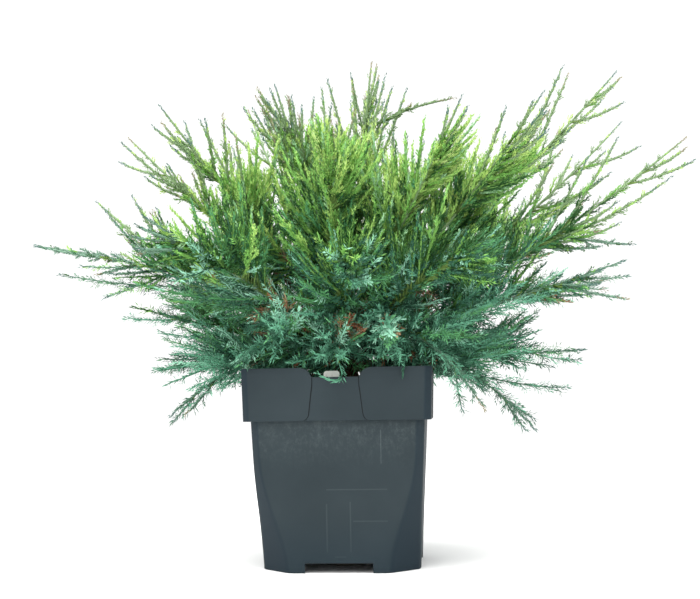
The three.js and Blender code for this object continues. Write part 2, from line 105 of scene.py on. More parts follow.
# Trunk and limbs
TRUNK = {"foot": SOIL["crown"] + 0.3, "height": 94, "radius": (13, 7), "lean": (5, 3)}
FLARE = {"lobes": 5, "swell": 0.42, "fade": 14, "lobe": 0.5}
LIMB = {"radius": (4, 1.5), "taper": 0.75}
BOUGH_END = 0.27
ROOT_STAGGER = 9
ROOT_CLIMB = 0.6
BARK = {
    "strip": 26, "around": 0.35, "apart": 40, "collar": 0.35, "collar_fade": 9,
    "trunk": {"rings": 44, "sides": 48, "relief": 0.16, "ease": 1.5},
    "limb": {"rings": 30, "sides": 14, "relief": 0.2},
}

# Growth rule, shared by every mass. A pair is a range to draw from, and a place is a share of a stem's
# length. "shorter" lists the lengths that are tried, as shares of the first, until a stem keeps to its
# space, and "tested" the places along the stem where that is looked at.
SEED = 4.7
GOLDEN = 137.508
LEADER = {
    "count": 4, "step": 0.618, "drift": 0.25, "from": BOUGH_END + 0.1, "to": 0.86, "roll": 40,
    "angle": (19, 37), "share": (0.7, 0.92), "extra": 12, "follow": 0.32, "rise": 0.3,
    "radius": (1.6, 1.2), "shorter": (1, 0.78, 0.58), "tested": (0.3, 0.5, 0.7, 0.85, 1), "clear": 3.5,
}
# More leaders, from limbs whose ends lie over a height and right of a place, along a stretch of the limb
# that ends within a distance of the container's axis. "inwards" gathers them near the trunk, "inner" and
# "outer" are their angles at the stretch's two ends, and "beyond", "rare" and "peak" say how far past the
# crown's edge a few of them reach. These finer ones fill the crown.
FILLER = {
    "above": 0, "right_of": -500, "count": 106, "number": 4, "from": 0.07, "past_bough": 1, "to": 0.84,
    "within": 265, "inwards": 1.15, "low": 0.62, "inner": (45, 85), "outer": (20, 42), "share": (0.36, 0.7),
    "extra": 30, "follow": 0.2, "rise": (0.1, 0.75), "shorter": (1, 0.82, 0.66, 0.5, 0.34, 0.2),
    "beyond": 0.34, "rare": 3.5, "peak": 0.14, "lap": 7,
}
# Short ones close the crown's middle, from where the boughs leave the trunk
CORE = {
    "above": 0, "right_of": -500, "count": 14, "number": 120, "from": 0.03, "past_bough": 0.3, "to": 0.4,
    "within": 130, "inwards": 1, "low": 1, "inner": (35, 80), "outer": (30, 70), "share": (0.05, 0.14),
    "extra": 24, "follow": 0.1, "rise": (0.1, 0.5), "shorter": (1, 0.7, 0.45),
    "beyond": 0, "rare": 1, "peak": 0, "lap": 60,
}
# Slender ones stand near the ends of the high limbs at the right and of the two at the crown's top
OUTER = {
    "above": 440, "right_of": 200, "count": 3, "number": 150, "from": 0.5, "past_bough": 1, "to": 0.9,
    "within": 420, "inwards": 1, "low": 0, "inner": (18, 34), "outer": (16, 30), "share": (0.6, 0.85),
    "extra": 14, "follow": 0.3, "rise": (0.1, 0.4), "shorter": (1, 0.78, 0.58),
    "beyond": 4, "rare": 0, "peak": 0, "lap": 5,
}
FILLER_TESTED = (0.4, 0.7, 1)
# Fillers that leave their limb less steeply than this share of upright turn up less
STEEP = 0.6
# The crown's rounded edge. Most fillers stay inside it, by up to this share of how far a few reach past.
CROWN_EDGE = {
    "foot": 215, "shift": (-14, 0.27), "across": (252, 0.14), "up": 266, "down": 28, "power": 3,
    "inside": 0.25,
}

# Shoots stand wider, closer together and less pressed forwards low down than high up. "long", "long_low"
# and "filler" are a plume's longest shoots: at its tip, and how they lengthen from there.
SHOOT = {
    "spacing": 7.2, "from": {"limb": 0.14, "crown": 0.2, "side": 0.1}, "to": 0.97, "drift": 0.35,
    "roll": 50, "angle": (15, 34), "low": 108, "tip": 20, "vary": (0.8, 1.1),
    "shorter": (1, 0.7, 0.45, 0.28), "tested": (0.5, 1),
    "long": (4.5, 0.08, 6), "long_low": (8, 0.11, 2.5), "filler": (5.5, 0.06, 24),
    "wider": (1.55, 1), "closer": (0.72, 1), "follow": (0.4, 0.8), "rise": (-0.15, 0.25),
    "radius": (0.9, 0.7), "forks": 8, "straight": 13,
}
BRANCHLET = {
    "spacing": 5, "from": 0.14, "to": 0.93, "drift": 0.35, "roll": 70, "angle": (18, 30),
    "low": 11, "tip": 4, "vary": (0.75, 1.2), "remaining": 0.42, "least": 3.5, "follow": 0.6,
    "radius": (0.7, 0.3), "sparse": 2.2,
}
# Where growth turns from low to high: a height, and how far over it the turn ends
LEVEL = {"filler": (230, 120), "shoot": (230, 160), "closer": (200, 160)}
# Numbering, so that every twig, leaf and loose bit has chances of its own
NUMBER = {
    "shoots": 41, "branchlets": 29, "leaves": 61, "first_branchlet": 1000, "first_stem": 900,
    "bits": 7, "bit_points": 11, "bit_tints": 5, "bit_tints_purpose": 70,
}

# Needle leaves below and inside, scale leaves above and at the tips
NEEDLE = {
    "spacing": 2.0, "length": (6.6, 8.8), "width": 1.5, "angle": (40, 56), "turn": 180, "unruly": 80,
    "below": 315, "blur": 45, "tips_from": 0.75, "tips_drop": 60, "slim": 0.68,
}
SCALE = {
    "spacing": 1.6, "length": (3.5, 4.5), "width": 2.1, "angle": (13, 21), "turn": GOLDEN, "unruly": 20,
}
# A leaf has two faces that meet at a fold. "belly", "widest" and "fold" are its widest place and its width
# as shares of its length, and its fold as a share of its width. "root" is a share of the twig's radius.
# At a stem's tip leaves lie closer and are shorter by the "tip" shares.
LEAF = {
    "belly": 0.4, "widest": 0.5, "fold": 0.22, "root": 0.5, "tip_angle": 0.6, "tip_length": 0.7,
    "most": 600, "stem_turn": 50.0,
}
LEAF_FACES = np.array([(0, 1, 2), (0, 2, 3)])
FACES_A_PIECE = 190000

# How tints are dealt: up a ladder by height, by a leaning of each leader's own, and a little by chance and
# by the shoot's place on its leader
DEAL = {
    "foot": 215, "climb": 300, "height": 0.95, "start": 0.03, "leaning": 0.46, "own": 0.12, "along": 0.16,
    "limb_at": 0.85,
}
# Sprays that are pale, and single pale shoots
PALE = {"sprays": 0.09, "of_spray": 0.75, "stray": 0.04, "frost_below": 0.4}
# Shaded shoots: many of those near a leader's start, a few of the rest, and more in a band at the right
SHADE = {"near": 0.22, "luck": (0.6, 0.94), "band": 0.36, "teal_below": 0.35, "deep_below": 0.62}
BAND = {"from": -60, "run": 120, "height": 0.42, "spread": 0.18}
# Stems that end outside the crown's edge, widened a little, are greyer cords, as is a share of the shoots
# there. Cords end in slate or bronze over the last millimetres.
CORD = {"outside": 1.04, "share": 0.6, "tip": 9, "slate": 0.72, "deep_below": 0.2, "teal_below": 0.5}
# Dead sprays: a share of those near the trunk and low down, and a few others
DEAD = {"share": 0.07, "within": 125, "below": 285, "stray": 0.004, "stray_below": 400, "rust": 0.6}

# A stem's radius at its start and its end, and how early it nears the end's
STEM_RADIUS = {
    "limbs": (5.86, 0.95, 3),
    "leaders": LEADER["radius"],
    "shoots": SHOOT["radius"],
    "straight": SHOOT["radius"],
    "branchlets": BRANCHLET["radius"],
}
# Where leaves start along each kind of stem, the size of its scale leaves and needles, and their spacing
DRESSING = {
    "limbs": {"from": 0.32, "size": (1.05, 1), "spacing": 0.5},
    "leaders": {"from": 0.12, "size": (1.15, 1), "spacing": 0.9},
    "shoots": {"from": 0.1, "size": (1, 1), "spacing": 1},
    "branchlets": {"from": 0.1, "size": (0.85, 0.62), "spacing": 1},
}
# Twig meshes: steps along and sides round, and where brown wood ends. Olive wood follows it for a share,
# and a limb's mesh starts a little inside its bough's.
TWIG = {
    "limbs": {"steps": 14, "sides": 7, "brown": 0.08},
    "leaders": {"steps": 6, "sides": 3, "brown": 0},
    "shoots": {"steps": 2, "sides": 3, "brown": -1},
    "straight": {"steps": 1, "sides": 3, "brown": -1},
    "branchlets": {"steps": 1, "sides": 3, "brown": -1},
}
OLIVE_WOOD = 0.14
IN_BOUGH = 0.005
# A heading that hardly any twig has, to measure the others against
ASKEW = (0.21, 0.13, 1)

# Single sprays placed one by one, each a mass's extra leader of three points: two that fork where they lean
# out of the crown's top to the right, three upright ones beside it, two that hang over the container's
# front edge, and bushy ones that close the crown's middle
SPRIGS = [
    ("crown_right", (27, 12, 495), (70, -6, 520), (135, -10, 526)),
    ("crown_right", (52, 4, 507), (70, -4, 508), (84, -8, 522)),
    ("crown_right", (20, 8, 430), (19, 2, 500), (14, 0, 556)),
    ("crown_right", (23, 9, 450), (38, 0, 494), (54, -4, 559)),
    ("front_upper", (-6, -60, 400), (-10, -60, 470), (-15, -60, 529)),
    ("front_low", (-3, -91, 234), (25, -114, 182), (-19, -112, 209)),
    ("front_right_low", (70, -64, 254), (77, -100, 230), (71, -108, 204)),
    ("front_low", (-1, -36, 232), (18, -52, 214), (34, -78, 214)),
    ("front_left_low", (-29, -37, 248), (-45, -70, 270), (-70, -110, 292)),
    ("front_right_middle", (48, -57, 273), (80, -75, 276), (118, -100, 286)),
    ("left_front_upper", (-55, -24, 336), (-52, -58, 376), (-66, -80, 428)),
    ("front_upper", (0, -41, 325), (10, -75, 360), (22, -100, 400)),
    ("crown_left", (-11, 0, 338), (-60, 18, 390), (-92, 25, 450)),
]
FIRST_SPRIG = 200
# The sprigs from this number on are bushy, and those before it slender
FIRST_BUSHY = FIRST_SPRIG + 5

# Room that foliage leaves round its neighbours, the container and the trunk
LAP = {"shoot": 10, "branchlet": 13, "crowded": 30, "within": 180}
ROOM = {"beside": 5, "over": 2, "inside": 88, "soil": 3, "trunk": 3, "flare": 1.2}

# Each mass: the way it grows, how far its tip reaches from the container's axis, the tip's height
# over the ground, and how far the limb's middle is lifted over a straight line
TIERS = {
    "low": [
        ("right_low", -3, 270, 233, 4), ("right_front_low", -20, 222, 147, 84),
        ("back_right_low", 46, 240, 212, 26), ("back_low", 102, 225, 190, 40),
        ("back_left_low", 159, 252, 222, 24), ("left_low", 174, 256, 296, 0),
        ("left_front_low", 203, 198, 166, 66), ("front_left_low", 232, 160, 226, 46),
        ("front_low", 268, 122, 228, 22), ("front_right_low", 317, 210, 168, 104),
    ],
    "middle": [
        ("right_middle", -10, 315, 326, -6), ("right_sweep", 4, 402, 480, -46),
        ("back_right_middle", 27, 396, 540, -44), ("back_middle", 84, 285, 388, 4),
        ("back_left_middle", 146, 296, 330, 12), ("left_middle", 182, 362, 366, 34),
        ("front_left_middle", 226, 262, 366, 0), ("front_middle", 276, 190, 332, 4),
        ("front_right_middle", 309, 248, 342, -4),
    ],
    "upper": [
        ("right_front_upper", -24, 248, 504, -38), ("right_upper", 12, 338, 574, -36),
        ("back_right_upper", 58, 246, 560, -30), ("back_left_upper", 126, 246, 580, -30),
        ("left_upper", 168, 276, 510, -18), ("left_front_upper", 204, 211, 508, -22),
        ("front_upper", 267, 142, 472, -8), ("front_right_upper", 320, 182, 498, -30),
    ],
}
# Where the limbs of a tier leave the trunk, counted from the trunk's foot
ROOT_HEIGHT = {"low": 13, "middle": 37, "upper": 60}
# Masses whose stem leaves the trunk's upper end itself: root height and first share of the stem at the end
CROWN = [
    ("crown_left", 190, 76, 548, -8, 86, 0.06),
    ("crown_right", 24, 40, 580, 0, TRUNK["height"], 0.004),
]

# The photograph's camera, measured from the container: millimetres, degrees and pixels
IMAGE = (700, 599)
CAMERA = {
    "azimuth": 5.2, "distance": 1250, "height": 171, "aim": 0.38, "pitch": 5.73, "roll": -0.8,
    "focal": 1092, "film": 36,
}
# Area lights: place and size in metres, watts and colour
LIGHTS = {
    "key": ((-0.6, -2.2, 1.9), 2.0, 36, (1, 0.99, 0.97)),
    "fill": ((1.6, -1.2, 1.3), 1.6, 8, (0.96, 0.98, 1)),
    "top": ((-0.1, -0.4, 2.3), 1.6, 90, (1, 1, 0.98)),
}
LIT_POINT = (0, 0, 0.3)
SKY = 1.1
FLOOR_SIZE = 60


# Small tools


def lerp(low, high, share):
    return low + (high - low) * share


def smooth(share):
    share = np.clip(share, 0, 1)
    return share * share * (3 - 2 * share)


def rising(values, start, run):
    """0 up to a start, 1 from a run past it, and a smooth step between them"""
    return smooth((values - start) / run)


def curve(t, start, middle, end):
    """A place on a curve of three points"""
    return (1 - t) ** 2 * start + 2 * t * (1 - t) * middle + t**2 * end


def chance(mass, twig, purpose):
    """A repeatable number from 0 to 1 for a mass, a twig on it and a purpose"""
    mixed = SEED + mass * 12.9898 + twig * 78.233 + purpose * 37.719
    return np.mod(np.sin(mixed) * 43758.5453, 1.0)


def draw(pair, mass, twig, purpose):
    return lerp(*pair, chance(mass, twig, purpose))


def unit(vectors):
    return vectors / np.maximum(np.linalg.norm(vectors, axis=-1, keepdims=True), 1e-9)


def colour(red, green, blue):
    """A colour written as it looks on a screen, 0 to 255, for a shader"""
    linear = [((c / 255 + 0.055) / 1.055) ** 2.4 if c > 10 else c / 3294.6 for c in (red, green, blue)]
    return (*linear, 1.0)


# Finishes


class Value:
    """A socket's value, so that maths on numbers reads as an expression"""

    def __init__(self, finish, socket):
        self.finish = finish
        self.socket = socket

    def maths(self, operation, first, second):
        return self.finish.node("ShaderNodeMath", {"operation": operation}, {0: first, 1: second})

    def __add__(self, other):
        return self.maths("ADD", self, other)

    def __radd__(self, other):
        return self.maths("ADD", other, self)

    def __sub__(self, other):
        return self.maths("SUBTRACT", self, other)

    def __rsub__(self, other):
        return self.maths("SUBTRACT", other, self)

    def __mul__(self, other):
        return self.maths("MULTIPLY", self, other)

    def __abs__(self):
        return self.maths("ABSOLUTE", self, 0.0)

    def __pow__(self, other):
        return self.maths("POWER", self, other)


class Finish:
    """A material of one principled shader, with the nodes that feed it"""

    def __init__(self, name, constants):
        self.material = bpy.data.materials.new(name)
        self.material.use_nodes = True
        self.tree = self.material.node_tree
        self.shader = self.tree.nodes["Principled BSDF"]
        for socket, value in constants.items():
            self.shader.inputs[socket].default_value = value

    def node(self, kind, settings=None, inputs=None, output=0):
        made = self.tree.nodes.new(kind)
        for name, value in (settings or {}).items():
            if name == "stops":
                ramp = made.color_ramp.elements
                while len(ramp) < len(value):
                    ramp.new(0.5)
                for element, (place, tint) in zip(ramp, value):
                    element.position = place
                    element.color = tint
            else:
                setattr(made, name, value)
        for name, value in (inputs or {}).items():
            self.feed(made.inputs[name], value)
        return Value(self, made.outputs[output])

    def feed(self, socket, value):
        if isinstance(value, Value):
            self.tree.links.new(value.socket, socket)
        else:
            socket.default_value = value

    def shade(self, **sockets):
        """Links values to the shader's sockets, with _ for a space in a socket's name"""
        for name, value in sockets.items():
            self.tree.links.new(value.socket, self.shader.inputs[name.replace("_", " ")])

    def place(self):
        return self.node("ShaderNodeTexCoord", output="Object")

    def stretched(self, vector, scale):
        return self.node("ShaderNodeMapping", {}, {"Vector": vector, "Scale": scale})

    def split(self, vector):
        first = self.node("ShaderNodeSeparateXYZ", {}, {0: vector})
        outputs = first.socket.node.outputs
        return [Value(self, socket) for socket in outputs]

    def noise(self, vector, scale, detail=2.0, roughness=0.5):
        inputs = {"Vector": vector, "Scale": scale, "Detail": detail, "Roughness": roughness}
        return self.node("ShaderNodeTexNoise", {}, inputs)

    def rise(self, value, low, high):
        """0 under low, 1 over high, and a smooth step between them"""
        settings = {"interpolation_type": "SMOOTHSTEP"}
        return self.node("ShaderNodeMapRange", settings, {0: value, 1: low, 2: high, 3: 0.0, 4: 1.0})

    def within(self, value, low, high):
        """1 between low and high, with soft ends half a millimetre long, and 0 outside"""
        return self.rise(value, low - 0.0005, low) * (1.0 - self.rise(value, high, high + 0.0005))

    def mix(self, factor, first, second):
        inputs = {0: factor, 6: first, 7: second}
        return self.node("ShaderNodeMix", {"data_type": "RGBA"}, inputs, output=2)

    def ramp(self, value, stops):
        return self.node("ShaderNodeValToRGB", {"stops": stops}, {0: value})

    def bump(self, height, distance, strength=1.0):
        inputs = {"Height": height, "Distance": distance, "Strength": strength}
        return self.node("ShaderNodeBump", {}, inputs)


def corner_edge(finish, z, on_rim):
    """How far the corner cuts lie from the axis, as x plus y, at a height: the body's and the rim's"""
    growing = finish.rise(z, 0.0, CORNER_CUT["from"] * MM) * (CORNER_CUT["growth"] * MM)
    foot = 2 * BODY_HALF[0] - CORNER_CUT["top"] - CORNER_CUT["growth"]
    body = z * (2 * (BODY_HALF[1] - BODY_HALF[0]) / RIM_BOTTOM) + growing + foot * MM
    slope = 2 * (RIM_HALF[1] - RIM_HALF[0]) / RIM_HEIGHT
    rim = z * slope + (2 * RIM_HALF[0] - RIM_CORNER - slope * RIM_BOTTOM) * MM
    return body + on_rim * (rim - body)


def plastic_finish(name, share):
    """Dark grey moulded plastic: a fine grain, dull scuffs under the rim, painted shade that darkens the
    corner cuts and the foot, and faint mould lines on the front. A share under 1 makes a darker copy,
    painted shade for the seams' groove"""
    finish = Finish(name, {"Specular IOR Level": 0.12})
    place = finish.place()
    x, y, z = finish.split(place)
    clouds = finish.noise(place, 11.0, 3.0, 0.55)
    grain = finish.noise(place, 1500.0, 1.0)
    drawn = finish.noise(finish.stretched(place, (90.0, 90.0, 9.0)), 1.0, 3.0, 0.6)
    rubbed = finish.noise(finish.stretched(place, (210.0, 210.0, 150.0)), 1.0, 6.0, 0.8)
    on_rim = finish.rise(z, (RIM_BOTTOM - 0.5) * MM, (RIM_BOTTOM + 0.2) * MM)
    scuffs = (finish.rise(rubbed, 0.42, 0.72) * 0.3 + 0.2) * finish.rise(z, 0.085, 0.150) * (1.0 - on_rim)
    # Painted shade: the corner cuts on the body and on the rim are darkened
    corner = finish.rise(abs(x) + abs(y) - corner_edge(finish, z, on_rim), -0.0025, -0.0002)
    scratches = finish.rise(drawn, 0.66, 0.80) * 0.14
    # Painted shade: the plastic darkens towards the foot
    foot = 1.0 - finish.rise(z, 0.0, 0.075)
    body = finish.ramp(clouds, [
        (0.30, colour(34 * share, 43 * share, 47 * share)),
        (0.55, colour(38 * share, 47 * share, 51 * share)),
        (0.80, colour(43 * share, 52 * share, 56 * share)),
    ])
    front = 1.0 - finish.rise(y, -0.0835, -0.0825)
    lines = [finish.within(x, *across) * finish.within(z, *up) for across, up in MOULD_LINES]
    lines = functools.reduce(Value.__add__, lines) * front
    worn = finish.mix(finish.rise(scuffs + scratches + lines * 0.3, 0.0, 1.4), body, colour(88, 97, 98))
    painted_shade = finish.mix(foot * 0.5, worn, colour(29, 43, 51))
    painted_shade = finish.mix(corner * 0.6, painted_shade, colour(20, 34, 43))
    centre = 1.0 - finish.rise(y ** 2.0 + x ** 2.0, 0.0008, 0.0012)
    tint = finish.mix(centre * 0.8, painted_shade, colour(92, 86, 78))
    finish.shade(
        Base_Color=tint,
        Roughness=0.50 + clouds * 0.16 + scuffs * 0.12,
        Normal=finish.bump(grain * 0.6 + drawn * 0.6 + scuffs * 0.4 + lines, 0.00012, 0.5),
    )
    return finish.material


def soil_finish():
    """Damp dark potting mix with paler fibres"""
    finish = Finish("potting_mix", {"Specular IOR Level": 0.25})
    place = finish.place()
    clods = finish.noise(place, 160.0, 4.0, 0.65)
    fibres = finish.noise(finish.stretched(place, (420.0, 900.0, 420.0)), 1.0, 2.0)
    tint = finish.ramp(clods, [
        (0.30, colour(28, 20, 15)),
        (0.52, colour(52, 37, 27)),
        (0.72, colour(88, 62, 43)),
    ])
    tint = finish.mix(finish.rise(fibres, 0.66, 0.74) * 0.7, tint, colour(132, 98, 66))
    bumps = finish.bump(clods + fibres * 0.3, 0.0012)
    finish.shade(Base_Color=tint, Roughness=0.78 + clods * 0.2, Normal=bumps)
    return finish.material


def label_finish():
    """White plastic gone grey, with a smear of soil near the potting mix"""
    finish = Finish("label_plastic", {"Specular IOR Level": 0.45})
    place = finish.place()
    z = finish.split(place)[2]
    smears = finish.noise(finish.stretched(place, (300.0, 300.0, 120.0)), 1.0, 4.0, 0.6)
    dirt = finish.rise(smears, 0.45, 0.75) * (1.0 - finish.rise(z, 0.198, 0.216))
    tint = finish.mix(dirt * 0.8, colour(214, 216, 210), colour(120, 104, 88))
    finish.shade(Base_Color=tint, Roughness=0.42 + dirt * 0.4, Normal=finish.bump(smears, 0.0001))
    return finish.material


def bark_finish():
    """Grey-brown bark that peels in long strips, by the limb's own straightened place"""
    finish = Finish("bark", {"Specular IOR Level": 0.2})
    place = finish.node("ShaderNodeAttribute", {"attribute_name": "bark_place"}, output="Vector")
    strips = finish.noise(finish.stretched(place, (520.0, 520.0, 46.0)), 1.0, 4.0, 0.6)
    clouds = finish.noise(place, 60.0, 3.0)
    tint = finish.ramp(strips, [
        (0.30, colour(44, 34, 27)),
        (0.50, colour(86, 68, 52)),
        (0.68, colour(118, 99, 80)),
        (0.85, colour(144, 128, 108)),
    ])
    tint = finish.mix(finish.rise(clouds, 0.55, 0.75) * 0.45, tint, colour(96, 66, 46))
    finish.shade(Base_Color=tint, Roughness=0.75 + strips * 0.2, Normal=finish.bump(strips, 0.0008))
    return finish.material


# Plain tints, dealt out to sprays, wood and chips
TINTS = {
    "frost_teal": (134, 186, 160),
    "teal": (84, 142, 114),
    "deep_teal": (42, 88, 66),
    "sea_green": (76, 136, 86),
    "deep_green": (42, 86, 38),
    "shade_green": (102, 152, 64),
    "mid_green": (116, 170, 82),
    "leaf_green": (146, 186, 96),
    "yellow_green": (160, 192, 102),
    "lime": (168, 194, 118),
    "pale_green": (136, 180, 132),
    "cord_green": (116, 142, 100),
    "cord_teal": (102, 134, 114),
    "cord_deep": (78, 112, 92),
    "slate_tip": (76, 106, 98),
    "bronze_tip": (124, 118, 92),
    "rust": (130, 86, 58),
    "straw": (150, 122, 92),
    "stem_brown": (112, 82, 56),
    "stem_green": (104, 148, 72),
    "stem_olive": (100, 128, 64),
    "chip_dark": (50, 34, 26),
    "chip_brown": (96, 62, 42),
    "chip_orange": (150, 92, 56),
    "chip_pale": (176, 140, 104),
    "crumb_white": (226, 224, 216),
}
TINT_NAMES = list(TINTS)
SPRAY_LADDER = [
    "teal", "deep_teal", "sea_green", "deep_green", "mid_green", "leaf_green", "yellow_green", "lime",
]
CHIP_LADDER = ["chip_dark", "chip_brown", "chip_brown", "chip_orange", "chip_pale"]
tint_materials = {}


def tint_material(name):
    if name not in tint_materials:
        constants = {"Base Color": colour(*TINTS[name]), "Roughness": 0.55, "Specular IOR Level": 0.3}
        finish = Finish(name, constants)
        tint_materials[name] = finish.material
    return tint_materials[name]


def tint(name):
    return TINT_NAMES.index(name)


# Meshes


def link_object(name, data):
    made = bpy.data.objects.new(name, data)
    bpy.context.scene.collection.objects.link(made)
    return made


def mesh_from(name, bm):
    mesh = bpy.data.meshes.new(name)
    bm.to_mesh(mesh)
    bm.free()
    return mesh


def add_object(name, mesh):
    piece = link_object(name, mesh)
    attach(piece, "root")
    return piece


def piece_from_bmesh(name, bm, material):
    """A piece in metres from a mesh worked out in millimetres"""
    bmesh.ops.scale(bm, vec=(MM, MM, MM), verts=bm.verts)
    mesh = mesh_from(name, bm)
    mesh.materials.append(material)
    return add_object(name, mesh)


def piece_from_triangles(name, points, triangles, tints, slot, smooth_faces):
    """A piece of plain tints in metres, from arrays in millimetres: points, faces' corners, faces' tints"""
    mesh = bpy.data.meshes.new(name)
    mesh.vertices.add(len(points))
    mesh.vertices.foreach_set("co", (points * MM).astype(np.float32).ravel())
    mesh.loops.add(3 * len(triangles))
    mesh.loops.foreach_set("vertex_index", triangles.astype(np.int32).ravel())
    mesh.polygons.add(len(triangles))
    mesh.polygons.foreach_set("loop_start", np.arange(len(triangles), dtype=np.int32) * 3)
    used, slots = np.unique(tints, return_inverse=True)
    for index in used:
        mesh.materials.append(tint_material(TINT_NAMES[index]))
    mesh.polygons.foreach_set("material_index", slots.astype(np.int32))
    mesh.polygons.foreach_set("use_smooth", np.full(len(triangles), smooth_faces))
    mesh.update(calc_edges=True)
    return add_object(name, mesh)


# Container


def narrower(inset):
    """How much narrower a 45 degree cut gets when its square is taken in by an inset"""
    return inset * (2 - math.sqrt(2))


def body_half(z):
    return lerp(*BODY_HALF, z / RIM_BOTTOM)


def body_cut(z):
    return CORNER_CUT["top"] + CORNER_CUT["growth"] * smooth(1 - z / CORNER_CUT["from"])


def rim_half(z):
    return lerp(*RIM_HALF, (z - RIM_BOTTOM) / RIM_HEIGHT)


def notch_depth(x):
    """How far the hand dip lowers the rim's top edge at a distance from the middle of a side"""
    t = np.linspace(0, 1, 33)
    run = curve(t, NOTCH["half"], NOTCH["bend"], NOTCH["flat"])
    return np.interp(-np.abs(x), -run, NOTCH["depth"] * t**2)


def seam(height):
    """Half the width of a side's sunk panel at a height over the rim's lower edge"""
    run = RIM_HEIGHT - NOTCH["depth"] - PANEL["fillet"]
    half = lerp(PANEL["low"], PANEL["top"], np.clip((height - PANEL["fillet"]) / run, 0, 1))
    turn = np.clip(1 - height / PANEL["fillet"], 0, 1)
    return half + PANEL["fillet"] * (1 - np.sqrt(1 - turn**2))


def half_side(half, cut, ease, flats):
    """One side of a section from its middle to the middle of its corner: distances along and away"""
    start = half - cut - ease
    t = np.linspace(0, 1, CORNER_STEPS)
    slant = math.sqrt(0.5) * ease
    corner_x = curve(t, start, half - cut, half - cut + slant)
    corner_y = curve(t, half, half, half - slant)
    along = np.concatenate([flats(start), corner_x, [half - cut / 2]])
    away = np.concatenate([np.full(FLAT_COLUMNS, half), corner_y, [half - cut / 2]])
    return along, away


def even_flats(start):
    return start * np.arange(FLAT_COLUMNS) / FLAT_COLUMNS


def rim_flats(height):
    """Columns that follow the panel's seam and then the hand dip's shoulder"""
    edge = float(seam(height))
    shoulder = max(NOTCH["half"], edge + 5)

    def flats(start):
        inner = [0, edge * 0.4, edge * 0.8]
        step = [edge - PANEL["step"] / 2, edge + PANEL["step"] / 2]
        outer = [lerp(edge, shoulder, share) for share in (0.25, 0.45, 0.65, 0.82, 1)]
        rest = [lerp(shoulder, start, share) for share in (0.33, 0.66)]
        return np.array(inner + step + outer + rest)

    return flats


def ring_from(along, away, heights):
    """A closed ring round the container from half a side's columns"""
    side_x = np.concatenate([-along[-2:0:-1], along])
    side_y = -np.concatenate([away[-2:0:-1], away])
    side_z = np.concatenate([heights[-2:0:-1], heights])
    turns = [(side_x, side_y), (-side_y, side_x), (-side_x, -side_y), (side_y, -side_x)]
    return np.concatenate([np.column_stack([x, y, side_z]) for x, y in turns])


def body_ring(inset, z):
    cut = body_cut(z) - narrower(inset)
    ease = min(CORNER_EASE["body"] * cut, 6)
    along, away = half_side(body_half(z) - inset, cut, ease, even_flats)
    return ring_from(along, away, np.full(len(along), float(z)))


def rim_ring(inset, share=None, z=None, drop=0.0):
    """A ring on the rim at a share of the way up its face, which ends at the hand dips, or at a height"""
    cut = RIM_CORNER - narrower(inset)
    height = share * RIM_HEIGHT if z is None else z - RIM_BOTTOM
    level = RIM_BOTTOM + height
    along, away = half_side(rim_half(level) - inset, cut, CORNER_EASE["rim"], rim_flats(height))
    recess = np.where(np.arange(len(along)) < PANEL_COLUMNS, PANEL["depth"], 0.0)
    away = away - (recess if inset < WALL * 0.75 else 0.0)
    top = POT_HEIGHT - notch_depth(along) - drop
    heights = np.full(len(along), level) if z is not None else lerp(RIM_BOTTOM, top, share)
    return ring_from(along, away, heights)


def circle_ring(radius, z):
    like = body_ring(0, 0)
    turn = np.arctan2(like[:, 1], like[:, 0])
    return np.column_stack([radius * np.cos(turn), radius * np.sin(turn), np.full(len(turn), float(z))])


def pot_rings():
    """The container's wall as rings, from the centre foot out, up the body and the rim, and down inside,
    with the numbers of those on the rim's face"""
    rings = [circle_ring(CENTRE_FOOT - EDGE, 0), circle_ring(CENTRE_FOOT, EDGE)]
    rings += [circle_ring(CENTRE_FOOT, FLOOR["under"]), body_ring(WALL, FLOOR["under"])]
    rings += [body_ring(WALL, 0), body_ring(EDGE, 0), body_ring(0, EDGE)]
    rings += [body_ring(0, z) for z in (*BODY_LEVELS, SKIRT_ROOF)]
    rings += [rim_ring(WALL, z=SKIRT_ROOF), rim_ring(WALL, z=RIM_BOTTOM + EDGE)]
    rings += [rim_ring(WALL - EDGE, z=RIM_BOTTOM), rim_ring(EDGE, z=RIM_BOTTOM)]
    low = len(rings)
    rings += [rim_ring(0, z=RIM_BOTTOM + level) for level in RIM_LEVELS]
    rings += [rim_ring(0, share) for share in RIM_SHARES]
    high = len(rings)
    rings += [rim_ring(0, 1.0, drop=EDGE), rim_ring(0.3 * EDGE, 1.0, drop=0.3 * EDGE)]
    rings += [rim_ring(EDGE, 1.0)]
    rings += [rim_ring(LIP - EDGE, 1.0), rim_ring(LIP, 1.0, drop=EDGE), rim_ring(LIP, z=LEDGE + 1)]
    rings += [body_ring(WALL - 0.6, LEDGE), body_ring(WALL, LEDGE - 1)]
    rings += [body_ring(WALL, z) for z in INSIDE_LEVELS]
    rings += [body_ring(WALL + 1, FLOOR["over"])]
    return np.array(rings), range(low, high)


